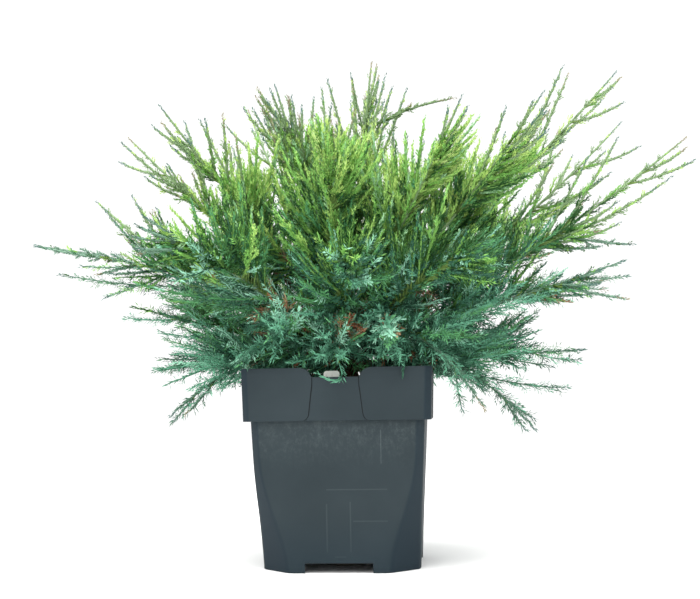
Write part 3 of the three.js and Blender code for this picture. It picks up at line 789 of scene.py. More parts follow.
def make_cutters():
    """Drain slots under the foot of each side and drain holes through the floor, as one object"""
    bm = bmesh.new()
    out, down = CUTTER_EXCESS["out"], CUTTER_EXCESS["down"]
    slot_size = (2 * DRAIN_SLOT["half"], DRAIN_SLOT["depth"] + out, DRAIN_SLOT["height"] + down)
    slot_y = -BODY_HALF[0] + (DRAIN_SLOT["depth"] - out) / 2
    slot_place = Vector((0, slot_y, (DRAIN_SLOT["height"] - down) / 2))
    slot = Matrix.Translation(slot_place) @ Matrix.Diagonal((*slot_size, 1))
    hole_place = Vector((DRAIN_HOLE["centre"], 0, (FLOOR["under"] + FLOOR["over"]) / 2))
    radius = DRAIN_HOLE["radius"]
    for quarter in range(4):
        turn = Matrix.Rotation(quarter * math.pi / 2, 4, "Z")
        bmesh.ops.create_cube(bm, size=1, matrix=turn @ slot)
        turn = Matrix.Rotation((quarter + 0.5) * math.pi / 2, 4, "Z")
        bmesh.ops.create_cone(
            bm, cap_ends=True, segments=24, radius1=radius, radius2=radius, depth=down,
            matrix=turn @ Matrix.Translation(hole_place),
        )
    bmesh.ops.recalc_face_normals(bm, faces=bm.faces)
    bmesh.ops.scale(bm, vec=(MM, MM, MM), verts=bm.verts)
    return link_object("cutters", mesh_from("cutters", bm))


def make_pot():
    rings, rim_rows = pot_rings()
    rows, columns = rings.shape[:2]
    side = columns // 4
    seams = (side // 2 - PANEL_COLUMNS - 1, side // 2 + PANEL_COLUMNS - 2)
    bm = bmesh.new()
    bmesh.ops.create_grid(bm, x_segments=columns, y_segments=rows - 1, size=1)
    for face in bm.faces:
        middle = face.calc_center_median()
        column = int((middle.x + 1) / 2 * columns)
        row = int((middle.y + 1) / 2 * (rows - 1))
        # Faces of the panel seams' step on the rim take the darker copy of the plastic: painted shade in
        # the groove
        face.material_index = int(column % side in seams and row in rim_rows)
    for vert in bm.verts:
        column = round((vert.co.x + 1) / 2 * columns) % columns
        row = round((vert.co.y + 1) / 2 * (rows - 1))
        vert.co = rings[row, column]
    bmesh.ops.remove_doubles(bm, verts=bm.verts, dist=0.001)
    bmesh.ops.holes_fill(bm, edges=bm.edges, sides=0)
    bmesh.ops.recalc_face_normals(bm, faces=bm.faces)
    pot = piece_from_bmesh("container", bm, plastic_finish("pot_plastic", 1))
    # The darker copy of the plastic, painted shade for the seams' groove
    pot.data.materials.append(plastic_finish("pot_seam", 0.45))
    cutter = make_cutters()
    cut = pot.modifiers.new("drains", "BOOLEAN")
    cut.operation = "DIFFERENCE"
    cut.solver = "EXACT"
    cut.object = cutter
    depsgraph = bpy.context.evaluated_depsgraph_get()
    mesh = bpy.data.meshes.new_from_object(pot.evaluated_get(depsgraph))
    pot.modifiers.clear()
    pot.data = mesh
    bpy.data.objects.remove(cutter)
    mesh.shade_smooth()
    mesh.set_sharp_from_angle(angle=math.radians(38))
    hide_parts("pot")


# Soil


def soil_height(x, y):
    """The potting mix's top at a place, with its lumps, in millimetres"""
    away = min(math.hypot(x, y) / body_half(SOIL["edge"]), 1)
    slope = smooth((away - SOIL["flat"]) / (1 - SOIL["flat"]))
    lumps = noise.fractal(Vector((x, y, 0)) / SOIL["clod"], 0.9, 2.1, 4) * SOIL["lumps"]
    dip = 1 - math.exp(-((math.hypot(x, y) / SOIL["dip"]) ** 4))
    return lerp(SOIL["crown"], SOIL["edge"], slope) + lumps * dip - SOIL["sunk"]


def make_soil():
    half = body_half(SOIL["edge"]) - WALL - SOIL["play"]
    corner = 2 - SOIL["corner"] / half
    bm = bmesh.new()
    bmesh.ops.create_grid(bm, x_segments=SOIL["cells"], y_segments=SOIL["cells"], size=1)
    for vert in bm.verts:
        x, y = vert.co.x, vert.co.y
        past = max(0, abs(x) + abs(y) - corner) / 2
        x -= math.copysign(past, x)
        y -= math.copysign(past, y)
        vert.co = (x * half, y * half, soil_height(x * half, y * half))
    border = [edge for edge in bm.edges if edge.is_boundary]
    skirt = bmesh.ops.extrude_edge_only(bm, edges=border)["geom"]
    for vert in skirt:
        if isinstance(vert, bmesh.types.BMVert):
            vert.co.z = SOIL["under"]
            vert.co.xy *= (body_half(SOIL["under"]) - WALL - 2 * SOIL["play"]) / half
    bmesh.ops.holes_fill(bm, edges=bm.edges, sides=0)
    bmesh.ops.recalc_face_normals(bm, faces=bm.faces)
    soil = piece_from_bmesh("potting_mix", bm, soil_finish())
    soil.data.shade_smooth()
    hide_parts("soil")


def scattered_bits(count, size, flatness, purpose, reach):
    """Small uneven lumps lying on the potting mix: length range, flatness, and reach from the axis"""
    bit = np.arange(count)

    def pick(number):
        return chance(NUMBER["bits"], bit, purpose + number)

    x = lerp(-reach, reach, pick(0))
    y = lerp(-reach, reach, pick(1))
    keep = (np.hypot(x, y) > BIT["clear"]) & (np.abs(x) + np.abs(y) < reach * BIT["corner"])
    bit, x, y = bit[keep], x[keep], y[keep]
    z = np.array([soil_height(*place) for place in zip(x, y)])
    length = lerp(*size, pick(2) ** 2) / 2
    broad = length * lerp(*BIT["broad"], pick(3))
    thick = length * lerp(*flatness, pick(4))
    turn = pick(5) * 2 * math.pi
    tilt = lerp(*BIT["tilt"], pick(6))
    spread = np.stack([length, -length, broad, -broad, thick, -thick], axis=1)
    point = bit[:, None] * NUMBER["bits"] + np.arange(BIT["points"])
    spread = spread * lerp(*BIT["uneven"], chance(NUMBER["bit_points"], point, purpose))
    axis_a = np.stack([np.cos(turn) * np.cos(tilt), np.sin(turn) * np.cos(tilt), np.sin(tilt)], axis=1)
    axis_b = np.stack([-np.sin(turn), np.cos(turn), 0 * turn], axis=1)
    axis_c = np.cross(axis_a, axis_b)
    axes = np.stack([axis_a, axis_a, axis_b, axis_b, axis_c, axis_c], axis=1)
    centre = np.column_stack([x, y, z + thick * 0.5])
    points = (centre[:, None] + axes * spread[:, :, None]).reshape(-1, 3)
    faces = (np.arange(len(x))[:, None, None] * BIT["points"] + OCTAHEDRON).reshape(-1, 3)
    return points, faces, bit


def make_soil_bits():
    chips = scattered_bits(**CHIPS)
    crumbs = scattered_bits(**CRUMBS)
    kinds = np.array([tint(name) for name in CHIP_LADDER])
    luck = chance(NUMBER["bit_tints"], chips[2], NUMBER["bit_tints_purpose"])
    chip_tints = kinds[(luck ** BIT["tint_ease"] * len(kinds)).astype(int)]
    tints = np.concatenate([chip_tints, np.full(len(crumbs[2]), tint("crumb_white"))])
    points = np.concatenate([chips[0], crumbs[0]])
    faces = np.concatenate([chips[1], crumbs[1] + len(chips[0])])
    piece_from_triangles("soil_bits", points, faces, np.repeat(tints, BIT["faces"]), "soil", False)


# Trunk and limbs


def trunk_axis(height):
    share = height / TRUNK["height"]
    return np.array([TRUNK["lean"][0] * share, TRUNK["lean"][1] * share, TRUNK["foot"] + height])


def trunk_radius(height):
    return lerp(*TRUNK["radius"], height / TRUNK["height"])


def list_masses():
    """Every mass with its tier, its limb's three points and the share of the limb where the mass starts"""
    listed = []
    for tier, masses in TIERS.items():
        for place, (name, azimuth, reach, tip, lift) in enumerate(masses):
            root = ROOT_HEIGHT[tier] + place % 2 * ROOT_STAGGER + place * ROOT_CLIMB
            listed.append((name, tier, azimuth, reach, tip, lift, root, BOUGH_END))
    for name, azimuth, reach, tip, lift, root, first in CROWN:
        listed.append((name, "upper", azimuth, reach, tip, lift, root, first))
    masses = []
    for name, tier, azimuth, reach, tip, lift, root, first in listed:
        start = trunk_axis(root)
        turn = math.radians(azimuth)
        end = np.array([reach * math.cos(turn), reach * math.sin(turn), tip])
        middle = (start + end) / 2 + (0, 0, lift)
        masses.append({"name": name, "tier": tier, "points": (start, middle, end), "first": first})
    return masses


class Stems:
    """Many curves of three points at once, with what is known of each kept beside it in arrays"""

    def __init__(self, **fields):
        vars(self).update(fields)
        if "length" not in fields:
            line = np.array([self.at(np.full(len(self.start), t)) for t in np.linspace(0, 1, 25)])
            self.length = np.linalg.norm(np.diff(line, axis=0), axis=2).sum(axis=0)

    def __len__(self):
        return len(self.start)

    def take(self, chosen):
        return Stems(**{name: value[chosen] for name, value in vars(self).items()})

    def at(self, t):
        return curve(t[:, None], self.start, self.middle, self.end)

    def heading(self, t):
        t = t[:, None]
        return unit((1 - t) * (self.middle - self.start) + t * (self.end - self.middle))

    def turned(self, t, angle, roll):
        """The heading at t turned away by an angle to the side that roll names, and that side"""
        along = self.heading(t)
        side = unit(np.cross(along, (0, 0, 1)))
        roll = np.radians(roll)[:, None]
        side = side * np.cos(roll) + np.cross(along, side) * np.sin(roll)
        angle = np.radians(angle)[:, None]
        return along * np.cos(angle) + side * np.sin(angle), side


def joined_stems(groups):
    names = sorted(set.intersection(*(set(vars(group)) for group in groups)))
    return Stems(**{name: np.concatenate([getattr(group, name) for group in groups]) for name in names})


MASSES = list_masses()
MASS_TIERS = np.array([list(TIERS).index(mass["tier"]) for mass in MASSES])
LIMBS = Stems(
    start=np.array([mass["points"][0] for mass in MASSES]),
    middle=np.array([mass["points"][1] for mass in MASSES]),
    end=np.array([mass["points"][2] for mass in MASSES]),
    mass=np.arange(len(MASSES)),
    leader=np.zeros(len(MASSES), int),
    first=np.array([mass["first"] for mass in MASSES]),
)
LIMB_LINES = np.array([LIMBS.at(np.full(len(LIMBS), t)) for t in np.linspace(0, 1, 15)]).transpose(1, 0, 2)


def limb_radius(t):
    return lerp(*LIMB["radius"], np.minimum(1, t ** LIMB["taper"]))


def ridge(place, around, along):
    """How far bark stands out at a place round and along a limb, -1 to 1: long strips"""
    strips = noise.noise(Vector((math.cos(place) * around, math.sin(place) * around, along)))
    return 1 - abs(strips) * 2


def add_limb(bm, layer, centres, radius_at, sides, relief, seed):
    """Bark over a line of centres: rings extruded one from the other and closed at both ends"""
    circle = bmesh.ops.create_circle(bm, segments=sides, radius=1)["verts"]
    ring = sorted(circle, key=lambda vert: math.atan2(vert.co.y, vert.co.x))
    edges = list({edge for vert in ring for edge in vert.link_edges})
    run = 0
    previous = Vector(centres[0])
    count = len(centres)
    for step in range(count):
        if step:
            made = bmesh.ops.extrude_edge_only(bm, edges=edges)["geom"]
            edges = [item for item in made if isinstance(item, bmesh.types.BMEdge)]
            new = [item for item in made if isinstance(item, bmesh.types.BMVert)]
            old = {tuple(vert.co): index for index, vert in enumerate(ring)}
            ring = sorted(new, key=lambda vert: old[tuple(vert.co)])
        centre = Vector(centres[step])
        run += (centre - previous).length
        previous = centre
        ahead = Vector(centres[min(step + 1, count - 1)]) - Vector(centres[max(step - 1, 0)])
        ahead.normalize()
        upright = abs(ahead.z) >= 0.9
        across = ahead.cross(Vector((1, 0.2, 0) if upright else ASKEW)).normalized()
        over = across.cross(ahead)
        for index, vert in enumerate(ring):
            turn = index / sides * 2 * math.pi
            radius = radius_at(step / (count - 1), turn)
            stands = ridge(turn, radius * BARK["around"], run / BARK["strip"] + seed) - 0.5
            radius *= 1 + relief * stands
            x, y = math.cos(turn) * radius, math.sin(turn) * radius
            vert.co = centre + (across * math.cos(turn) + over * math.sin(turn)) * radius
            vert[layer] = Vector((x + seed * BARK["apart"], y, run)) * MM
        if step in (0, count - 1):
            bmesh.ops.contextual_create(bm, geom=ring)


def make_bark():
    bm = bmesh.new()
    layer = bm.verts.layers.float_vector.new("bark_place")
    trunk, limb = BARK["trunk"], BARK["limb"]
    heights = np.linspace(0, 1, trunk["rings"]) ** trunk["ease"] * TRUNK["height"]

    def flared(share, turn):
        height = share ** trunk["ease"] * TRUNK["height"]
        swell = FLARE["swell"] * math.exp(-height / FLARE["fade"])
        return trunk_radius(height) * (1 + swell * (1 + FLARE["lobe"] * math.cos(FLARE["lobes"] * turn)))

    def collared(share, turn):
        swell = BARK["collar"] * math.exp(-share * BARK["collar_fade"])
        return float(limb_radius(share * BOUGH_END)) * (1 + swell)

    axis = [trunk_axis(height) for height in heights]
    add_limb(bm, layer, axis, flared, trunk["sides"], trunk["relief"], 0)
    shares = np.linspace(0, 1, limb["rings"])
    for index, mass in enumerate(MASSES):
        if mass["first"] != BOUGH_END:
            continue
        t = shares * BOUGH_END
        one = LIMBS.take(np.full(len(t), index))
        add_limb(bm, layer, one.at(t), collared, limb["sides"], limb["relief"], index + 1)
    bmesh.ops.recalc_face_normals(bm, faces=bm.faces)
    bark = piece_from_bmesh("bark", bm, bark_finish())
    bark.data.shade_smooth()
    boughs = [f"bough_{mass['name']}" for mass in MASSES if mass["first"] == BOUGH_END]
    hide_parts("trunk", *boughs)


# Space: a point belongs to the mass whose limb is nearest


def distances(points):
    """The distance from each point to each mass's limb"""
    result = np.empty((len(points), len(MASSES)))
    for index, line in enumerate(LIMB_LINES):
        start, run = line[:-1], np.diff(line, axis=0)
        from_start = points[:, None] - start
        share = np.clip((from_start * run).sum(axis=2) / (run * run).sum(axis=1), 0, 1)
        result[:, index] = np.linalg.norm(from_start - share[:, :, None] * run, axis=2).min(axis=1)
    return result


def clear_of_pot(points, beside):
    """Whether points keep clear of the container, the potting mix and the trunk"""
    x, y, z = points.T
    widest = np.maximum(np.abs(x), np.abs(y))
    rim_top = POT_HEIGHT + ROOM["over"]
    below = z < np.where(widest < ROOM["inside"], SOIL["crown"] + ROOM["soil"], rim_top)
    before = (np.abs(x) < ROOM["inside"]) & (y < -ROOM["inside"]) & (z < rim_top)
    height = z - TRUNK["foot"]
    share = height / TRUNK["height"]
    away = np.hypot(x - TRUNK["lean"][0] * share, y - TRUNK["lean"][1] * share)
    beyond = height > TRUNK["height"] + ROOM["over"]
    beyond |= away > trunk_radius(height) * ROOM["flare"] + ROOM["trunk"]
    return ~((widest < RIM_HALF[1] + beside) & below) & ~before & beyond


def in_space(points, mass, margin):
    """Whether points are nearer to their own mass's limb than to any other by a margin. A margin under 0
    lets them overlap, and lets them overlap more near the container's axis."""
    every = distances(points)
    row = np.arange(len(points))
    own = every[row, mass]
    if margin < 0:
        away = np.hypot(points[:, 0], points[:, 1])
        margin = margin - LAP["crowded"] * (1 - smooth(away / LAP["within"]))
    every[row, mass] = np.inf
    nearer = every.min(axis=1) >= np.maximum(own, LIMB["radius"][0]) + margin
    return clear_of_pot(points, ROOM["beside"]) & nearer


# Growth


def grown(parent, t, turn, length, bend, **fields):
    """Stems that leave their parents at t by an angle and a roll, and bend to a heading and upwards"""
    way, side = parent.turned(t, *turn)
    heading, rise = bend
    start = parent.at(t)
    half = (length / 2)[:, None]
    middle = start + way * half
    bent = unit(way + heading + np.outer(rise, (0, 0, 1)))
    return Stems(start=start, middle=middle, end=middle + bent * half, **fields)


def longest_that_fits(make, shares, where, margin, also=None):
    """The stems at the longest of a few lengths at which each keeps to its mass's space, without those
    that fit at none"""
    whole = make(1)
    best = np.zeros(len(whole))
    for share in shares:
        open_rows = np.flatnonzero(best == 0)
        if not len(open_rows):
            break
        stems = make(share).take(open_rows)
        fits = np.ones(len(stems), bool)
        for t in where:
            fits &= in_space(stems.at(np.full(len(stems), t)), stems.mass, margin)
        if also:
            fits &= also(stems, open_rows)
        best[open_rows[fits]] = share
    made = make(np.where(best > 0, best, 1))
    return made.take(best > 0)


def grow_leaders():
    """The limb's end is leader 0, and each next one leaves the limb a golden angle further round"""
    count = LEADER["count"] - 1
    mass = np.repeat(LIMBS.mass, count)
    leader = np.tile(np.arange(1, count + 1), len(LIMBS))
    limb = LIMBS.take(mass)
    place = np.mod(leader * LEADER["step"] + LEADER["drift"] * chance(mass, leader, 1), 1)
    t = lerp(LEADER["from"], LEADER["to"], place)
    roll = leader * GOLDEN + LEADER["roll"] * chance(mass, leader, 2)
    angle = draw(LEADER["angle"], mass, leader, 3)
    length = limb.length * (1 - t) * draw(LEADER["share"], mass, leader, 4) + LEADER["extra"]
    bend = (limb.heading(np.ones(len(mass))) * LEADER["follow"], np.full(len(mass), LEADER["rise"]))

    def make(share):
        return grown(limb, t, (angle, roll), length * share, bend, mass=mass, leader=leader)

    return longest_that_fits(make, LEADER["shorter"], LEADER["tested"], LEADER["clear"])


def hand_placed():
    names = [mass["name"] for mass in MASSES]
    return Stems(
        start=np.array([sprig[1] for sprig in SPRIGS], float),
        middle=np.array([sprig[2] for sprig in SPRIGS], float),
        end=np.array([sprig[3] for sprig in SPRIGS], float),
        mass=np.array([names.index(sprig[0]) for sprig in SPRIGS]),
        leader=FIRST_SPRIG + np.arange(len(SPRIGS)),
    )


def in_crown(points, scale):
    """Whether points lie inside the crown's rounded edge, which widens and leans right as it rises"""
    x, y, z = points.T
    up = z - CROWN_EDGE["foot"]
    across = np.hypot(x - CROWN_EDGE["shift"][0] - CROWN_EDGE["shift"][1] * up, y)
    across = across / (CROWN_EDGE["across"][0] + CROWN_EDGE["across"][1] * up)
    rise = np.where(up > 0, up / CROWN_EDGE["up"], -up / CROWN_EDGE["down"])
    return across ** CROWN_EDGE["power"] + rise ** CROWN_EDGE["power"] < scale ** CROWN_EDGE["power"]


def grow_fillers(rule):
    """Finer leaders, numbered on from the others, that fill the crown near the trunk and turn upwards"""
    count = rule["count"]
    mass = np.repeat(LIMBS.mass, count)
    leader = np.tile(np.arange(count), len(LIMBS)) + rule["number"]
    place = np.mod(leader * LEADER["step"] + LEADER["drift"] * chance(mass, leader, 1), 1)
    place = place ** rule["inwards"]
    kept = ((MASS_TIERS[mass] > 0) | (place < rule["low"])) & (LIMBS.end[mass, 2] > rule["above"])
    kept &= (LIMBS.end[mass, 0] > rule["right_of"]) | (LIMBS.first[mass] < BOUGH_END)
    mass, leader, place = mass[kept], leader[kept], place[kept]
    limb = LIMBS.take(mass)
    reach = np.hypot(limb.end[:, 0], limb.end[:, 1])
    first = np.maximum(rule["from"], limb.first * rule["past_bough"])
    t = lerp(first, np.minimum(rule["to"], rule["within"] / reach), place)
    roll = leader * GOLDEN + LEADER["roll"] * chance(mass, leader, 2)
    angle = lerp(draw(rule["inner"], mass, leader, 3), draw(rule["outer"], mass, leader, 3), place)
    length = limb.length * (1 - t) * draw(rule["share"], mass, leader, 4) + rule["extra"]
    height = rising(limb.at(t)[:, 2], *LEVEL["filler"])
    upward = smooth(limb.turned(t, angle, roll)[0][:, 2] / STEEP + 0.5)
    bend = (limb.heading(np.ones(len(mass))) * rule["follow"], lerp(*rule["rise"], height) * upward)

    def make(share):
        return grown(limb, t, (angle, roll), length * share, bend, mass=mass, leader=leader)

    scale = 1 + rule["beyond"] * (chance(mass, leader, 8) ** rule["rare"] - CROWN_EDGE["inside"])
    scale = scale + rule["peak"] * (limb.first < BOUGH_END)

    def within(stems, rows):
        return in_crown(stems.end, scale[rows])

    return longest_that_fits(make, rule["shorter"], FILLER_TESTED, -rule["lap"], within)


def spread_along(stems, first, last, spacing, most):
    """Places along stems: the stem's row, the place's number on it, and how many the stem has"""
    count = np.clip((stems.length * (last - first) / spacing).astype(int), 1, most)
    row = np.repeat(np.arange(len(stems)), count)
    number = np.arange(count.sum()) - np.repeat(np.cumsum(count) - count, count)
    return row, number, count[row]


def plume(left, end, slope, bow):
    """The longest shoot at a distance from a leader's tip, which gives its plume a slender end"""
    return end + slope * left + bow * (left / 100) ** 2


def slender(stems):
    """Whether stems are slender plumes: a limb's end, its few leaders, the outer ones and some sprigs"""
    outer = (stems.leader >= OUTER["number"]) & (stems.leader < FIRST_BUSHY)
    return (stems.leader < LEADER["count"]) | outer


def grow_shoots(stems, first):
    """Shoots along limbs and leaders: long near the start, short near the tip, and pressed forwards"""
    height = rising(stems.end[:, 2], *LEVEL["closer"])
    spacing = SHOOT["spacing"] * np.where(slender(stems), lerp(*SHOOT["closer"], height), 1)
    row, place, count = spread_along(stems, first, SHOOT["to"], spacing, NUMBER["shoots"])
    parent = stems.take(row)
    mass = parent.mass
    uid = parent.leader * NUMBER["shoots"] + place
    t = lerp(first[row], SHOOT["to"], (place + SHOOT["drift"] * chance(mass, uid, 5)) / count)
    roll = place * GOLDEN + SHOOT["roll"] * chance(mass, uid, 6)
    height = rising(parent.at(t)[:, 2], *LEVEL["shoot"])
    angle = draw(SHOOT["angle"], mass, uid, 7) * lerp(*SHOOT["wider"], height)
    left = (1 - t) * parent.length
    long = lerp(plume(left, *SHOOT["long_low"]), plume(left, *SHOOT["long"]), height)
    most = np.where(slender(parent), long, plume(left, *SHOOT["filler"]))
    length = np.minimum(lerp(SHOOT["low"], SHOOT["tip"], t), most) * draw(SHOOT["vary"], mass, uid, 8)
    follow = lerp(*SHOOT["follow"], height)
    bend = (parent.heading(t) * follow[:, None], lerp(*SHOOT["rise"], height))
    fields = {"mass": mass, "leader": parent.leader, "uid": uid, "place": t, "roll": roll}

    def make(share):
        return grown(parent, t, (angle, roll), length * share, bend, **fields)

    return longest_that_fits(make, SHOOT["shorter"], SHOOT["tested"], -LAP["shoot"])


def grow_branchlets(shoots, spacing):
    first, last = BRANCHLET["from"], BRANCHLET["to"]
    row, place, count = spread_along(shoots, first, last, spacing, NUMBER["branchlets"] - 1)
    parent = shoots.take(row)
    mass = parent.mass
    uid = NUMBER["first_branchlet"] + parent.uid * NUMBER["branchlets"] + place
    t = lerp(first, last, (place + BRANCHLET["drift"] * chance(mass, uid, 10)) / count)
    roll = parent.roll + place * 180 + BRANCHLET["roll"] * (chance(mass, uid, 11) - 0.5)
    angle = draw(BRANCHLET["angle"], mass, uid, 12)
    length = lerp(BRANCHLET["low"], BRANCHLET["tip"], t) * draw(BRANCHLET["vary"], mass, uid, 13)
    length = np.minimum(length, BRANCHLET["remaining"] * (1 - t) * parent.length + BRANCHLET["least"])
    fields = {
        "mass": mass, "leader": parent.leader, "uid": uid, "place": parent.place, "roll": roll,
        "tint": parent.tint, "needle": parent.needle, "tip": parent.tip, "slim": parent.slim,
    }
    bend = (parent.heading(t) * BRANCHLET["follow"], np.zeros(len(mass)))
    made = grown(parent, t, (angle, roll), length, bend, **fields)
    return made.take(in_space(made.end, made.mass, -LAP["branchlet"]))


# Tints of stems


def deal_tints(stems):
    """A plain tint for each stem: blue-green below, yellow-green above, and a leader's own leaning"""
    middle = stems.at(np.where(stems.leader == 0, DEAL["limb_at"], 0.5))
    height = (middle[:, 2] - DEAL["foot"]) / DEAL["climb"]
    leaning = (chance(stems.mass, stems.leader, 14) - 0.5) * DEAL["leaning"]
    own = (chance(stems.mass, stems.uid, 15) - 0.5) * DEAL["own"] + (stems.place - 0.5) * DEAL["along"]
    share = np.clip(height * DEAL["height"] + leaning + own + DEAL["start"], 0, 0.999)
    ladder = np.array([tint(name) for name in SPRAY_LADDER])
    chosen = ladder[(share * len(ladder)).astype(int)]
    luck = chance(stems.mass, stems.uid, 16)
    spray = chance(stems.mass, stems.leader, 13)
    pale = (spray < PALE["sprays"]) & (luck < PALE["of_spray"]) | (luck < PALE["stray"])
    frosty = np.where(height < PALE["frost_below"], tint("frost_teal"), tint("pale_green"))
    chosen = np.where(pale, frosty, chosen)
    band = rising(middle[:, 0], BAND["from"], BAND["run"])
    band = band * (1 - smooth(np.abs(height - BAND["height"]) / BAND["spread"]))
    shaded = luck > np.where(stems.place < SHADE["near"], *SHADE["luck"]) - SHADE["band"] * band
    shade = np.where(height < SHADE["deep_below"], tint("deep_green"), tint("shade_green"))
    shade = np.where(height < SHADE["teal_below"], tint("deep_teal"), shade)
    chosen = np.where(shaded, shade, chosen)
    outer = ~in_crown(stems.end, CORD["outside"]) & (luck < np.where(stems.main, 1, CORD["share"]))
    cord = np.where(height < CORD["teal_below"], tint("cord_teal"), tint("cord_green"))
    cord = np.where(height < CORD["deep_below"], tint("cord_deep"), cord)
    chosen = np.where(outer, cord, chosen)
    near = (np.hypot(middle[:, 0], middle[:, 1]) < DEAD["within"]) & (middle[:, 2] < DEAD["below"])
    fate = chance(stems.mass, stems.leader, 18)
    dead = (fate < DEAD["share"]) & near | (fate < DEAD["stray"]) & (middle[:, 2] < DEAD["stray_below"])
    return np.where(dead, np.where(luck < DEAD["rust"], tint("rust"), tint("straw")), chosen)


def needle_leaved(stems):
    """Stems low and inside carry needles, and the rest scale leaves"""
    middle = stems.at(np.full(len(stems), 0.5))[:, 2]
    edge = NEEDLE["below"] + NEEDLE["blur"] * (2 * chance(stems.mass, stems.leader, 17) - 1)
    outwards = rising(stems.place, NEEDLE["tips_from"], 1 - NEEDLE["tips_from"])
    edge = edge - NEEDLE["tips_drop"] * outwards
    return middle < edge


# Leaves and twigs as meshes


def thinned(t, low, high, ease=1):
    """A stem's radius at t, which nears the thin end early where ease is over 1"""
    return lerp(low, high, 1 - (1 - t) ** ease)


def leaf_faces(stems, kind, radius, first, size, spacing):
    """Folded leaves of two faces along stems, with their tints"""
    row, number, count = spread_along(stems, first, 1, kind["spacing"] * spacing, LEAF["most"])
    own = stems.take(row)
    share = (number + 0.5) / count
    t = lerp(first, 1, share)
    twig = own.uid * NUMBER["leaves"] + number
    jitter = chance(own.mass, twig, 20) - 0.5
    roll = own.roll + number * kind["turn"] + jitter * kind["unruly"]
    angle = draw(kind["angle"], own.mass, twig, 21) * lerp(1, LEAF["tip_angle"], share**3)
    way, side = own.turned(t, angle, roll)
    length = draw(kind["length"], own.mass, twig, 22) * size * lerp(1, LEAF["tip_length"], share**4)
    root = own.at(t) + side * (thinned(t, *radius) * own.slim * LEAF["root"])[:, None]
    across = unit(np.cross(way, side))
    width = np.minimum(kind["width"], length * LEAF["widest"])
    over = np.cross(across, way)
    belly = root + way * (length * LEAF["belly"])[:, None] + over * (width * LEAF["fold"])[:, None]
    half = across * (width / 2)[:, None]
    points = np.stack([root, belly - half, root + way * length[:, None], belly + half], axis=1)
    tips = own.main & ((1 - t) * own.length < CORD["tip"])
    return points, np.where(tips, own.tip, own.tint), own.mass


def tubes(stems, first, radius, steps, sides):
    """Tapering twigs that end in a point: points, faces, and each face's share of the way along its twig"""
    n = len(stems)
    rings = []
    for step in range(steps + 1):
        t = lerp(first, 1, step / steps)
        along = stems.heading(t)
        across = unit(np.cross(along, ASKEW))
        over = np.cross(along, across)
        thick = thinned(t, *radius) * stems.slim
        for side in range(sides if step < steps else 1):
            turn = side / sides * 2 * math.pi
            spoke = across * math.cos(turn) + over * math.sin(turn)
            reach = thick if step < steps else thick * 0
            rings.append(stems.at(t) + spoke * reach[:, None])
    points = np.array(rings).transpose(1, 0, 2)
    faces = [(0, side + 1, side) for side in range(1, sides - 1)]
    shares = [0] * len(faces)
    for step in range(steps - 1):
        shares += [step / steps] * 2 * sides
        for side in range(sides):
            a = step * sides + side
            b = step * sides + (side + 1) % sides
            faces += [(a, b, b + sides), (a, b + sides, a + sides)]
    last = (steps - 1) * sides
    faces += [(last + side, last + (side + 1) % sides, steps * sides) for side in range(sides)]
    shares += [1] * sides
    per_twig = points.shape[1]
    index = (np.arange(n)[:, None, None] * per_twig + np.array(faces)).reshape(-1, 3)
    return points.reshape(-1, 3), index, np.array(shares)


def leaf_pieces(name, points, tints, masses):
    """Leaves of one kind and tier, split into pieces that stay under the limit"""
    most = FACES_A_PIECE // len(LEAF_FACES)
    order = np.argsort(masses, kind="stable")
    parts = math.ceil(len(order) / most)
    for part, chosen in enumerate(np.array_split(order, parts)):
        shape = points[chosen].reshape(-1, 3)
        faces = (np.arange(len(chosen))[:, None, None] * points.shape[1] + LEAF_FACES).reshape(-1, 3)
        tier = list(TIERS)[MASS_TIERS[masses[chosen[0]]]]
        label = f"{name}_{part + 1}" if parts > 1 else name
        face_tints = np.repeat(tints[chosen], len(LEAF_FACES))
        piece = piece_from_triangles(label, shape, faces, face_tints, f"foliage_{tier}", False)
        stands_for = [f"foliage_{MASSES[index]['name']}" for index in np.unique(masses[chosen])]
        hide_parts(*stands_for)


def coloured(stems, main):
    """Adds what leaves and twigs need to know of stems: tints, kind of leaf, and whether they lead"""
    stems.main = np.full(len(stems), main)
    stems.tint = deal_tints(stems)
    stems.needle = needle_leaved(stems)
    stems.slim = np.where(stems.needle, NEEDLE["slim"], 1)
    bronze = chance(stems.mass, stems.leader, 19) > CORD["slate"]
    tips = np.where(bronze, tint("bronze_tip"), tint("slate_tip"))
    stems.tip = np.where(in_crown(stems.end, CORD["outside"]), stems.tint, tips)
    return stems


def grow_stems():
    """Every stem by its kind"""
    fillers = [grow_fillers(rule) for rule in (FILLER, CORE, OUTER)]
    leaders = joined_stems([grow_leaders(), *fillers, hand_placed()])
    limb_first = np.where(LIMBS.first == BOUGH_END, SHOOT["from"]["limb"], SHOOT["from"]["crown"])
    leader_first = np.full(len(leaders), SHOOT["from"]["side"])
    shoots = joined_stems([grow_shoots(LIMBS, limb_first), grow_shoots(leaders, leader_first)])
    shoots = coloured(shoots, False)
    wooded = joined_stems([LIMBS, leaders])
    wooded.uid = NUMBER["first_stem"] + wooded.leader
    wooded.roll = wooded.leader * LEAF["stem_turn"]
    wooded.place = np.full(len(wooded), 0.5)
    wooded = coloured(wooded, True)
    forked = shoots.take(shoots.length > SHOOT["forks"])
    dense = grow_branchlets(forked.take(~forked.needle), BRANCHLET["spacing"])
    sparse = grow_branchlets(forked.take(forked.needle), BRANCHLET["spacing"] * BRANCHLET["sparse"])
    branchlets = joined_stems([dense, sparse])
    branchlets.main = np.full(len(branchlets), False)
    return {
        "limbs": wooded.take(wooded.leader == 0),
        "leaders": wooded.take(wooded.leader > 0),
        "shoots": shoots,
        "branchlets": branchlets,
    }


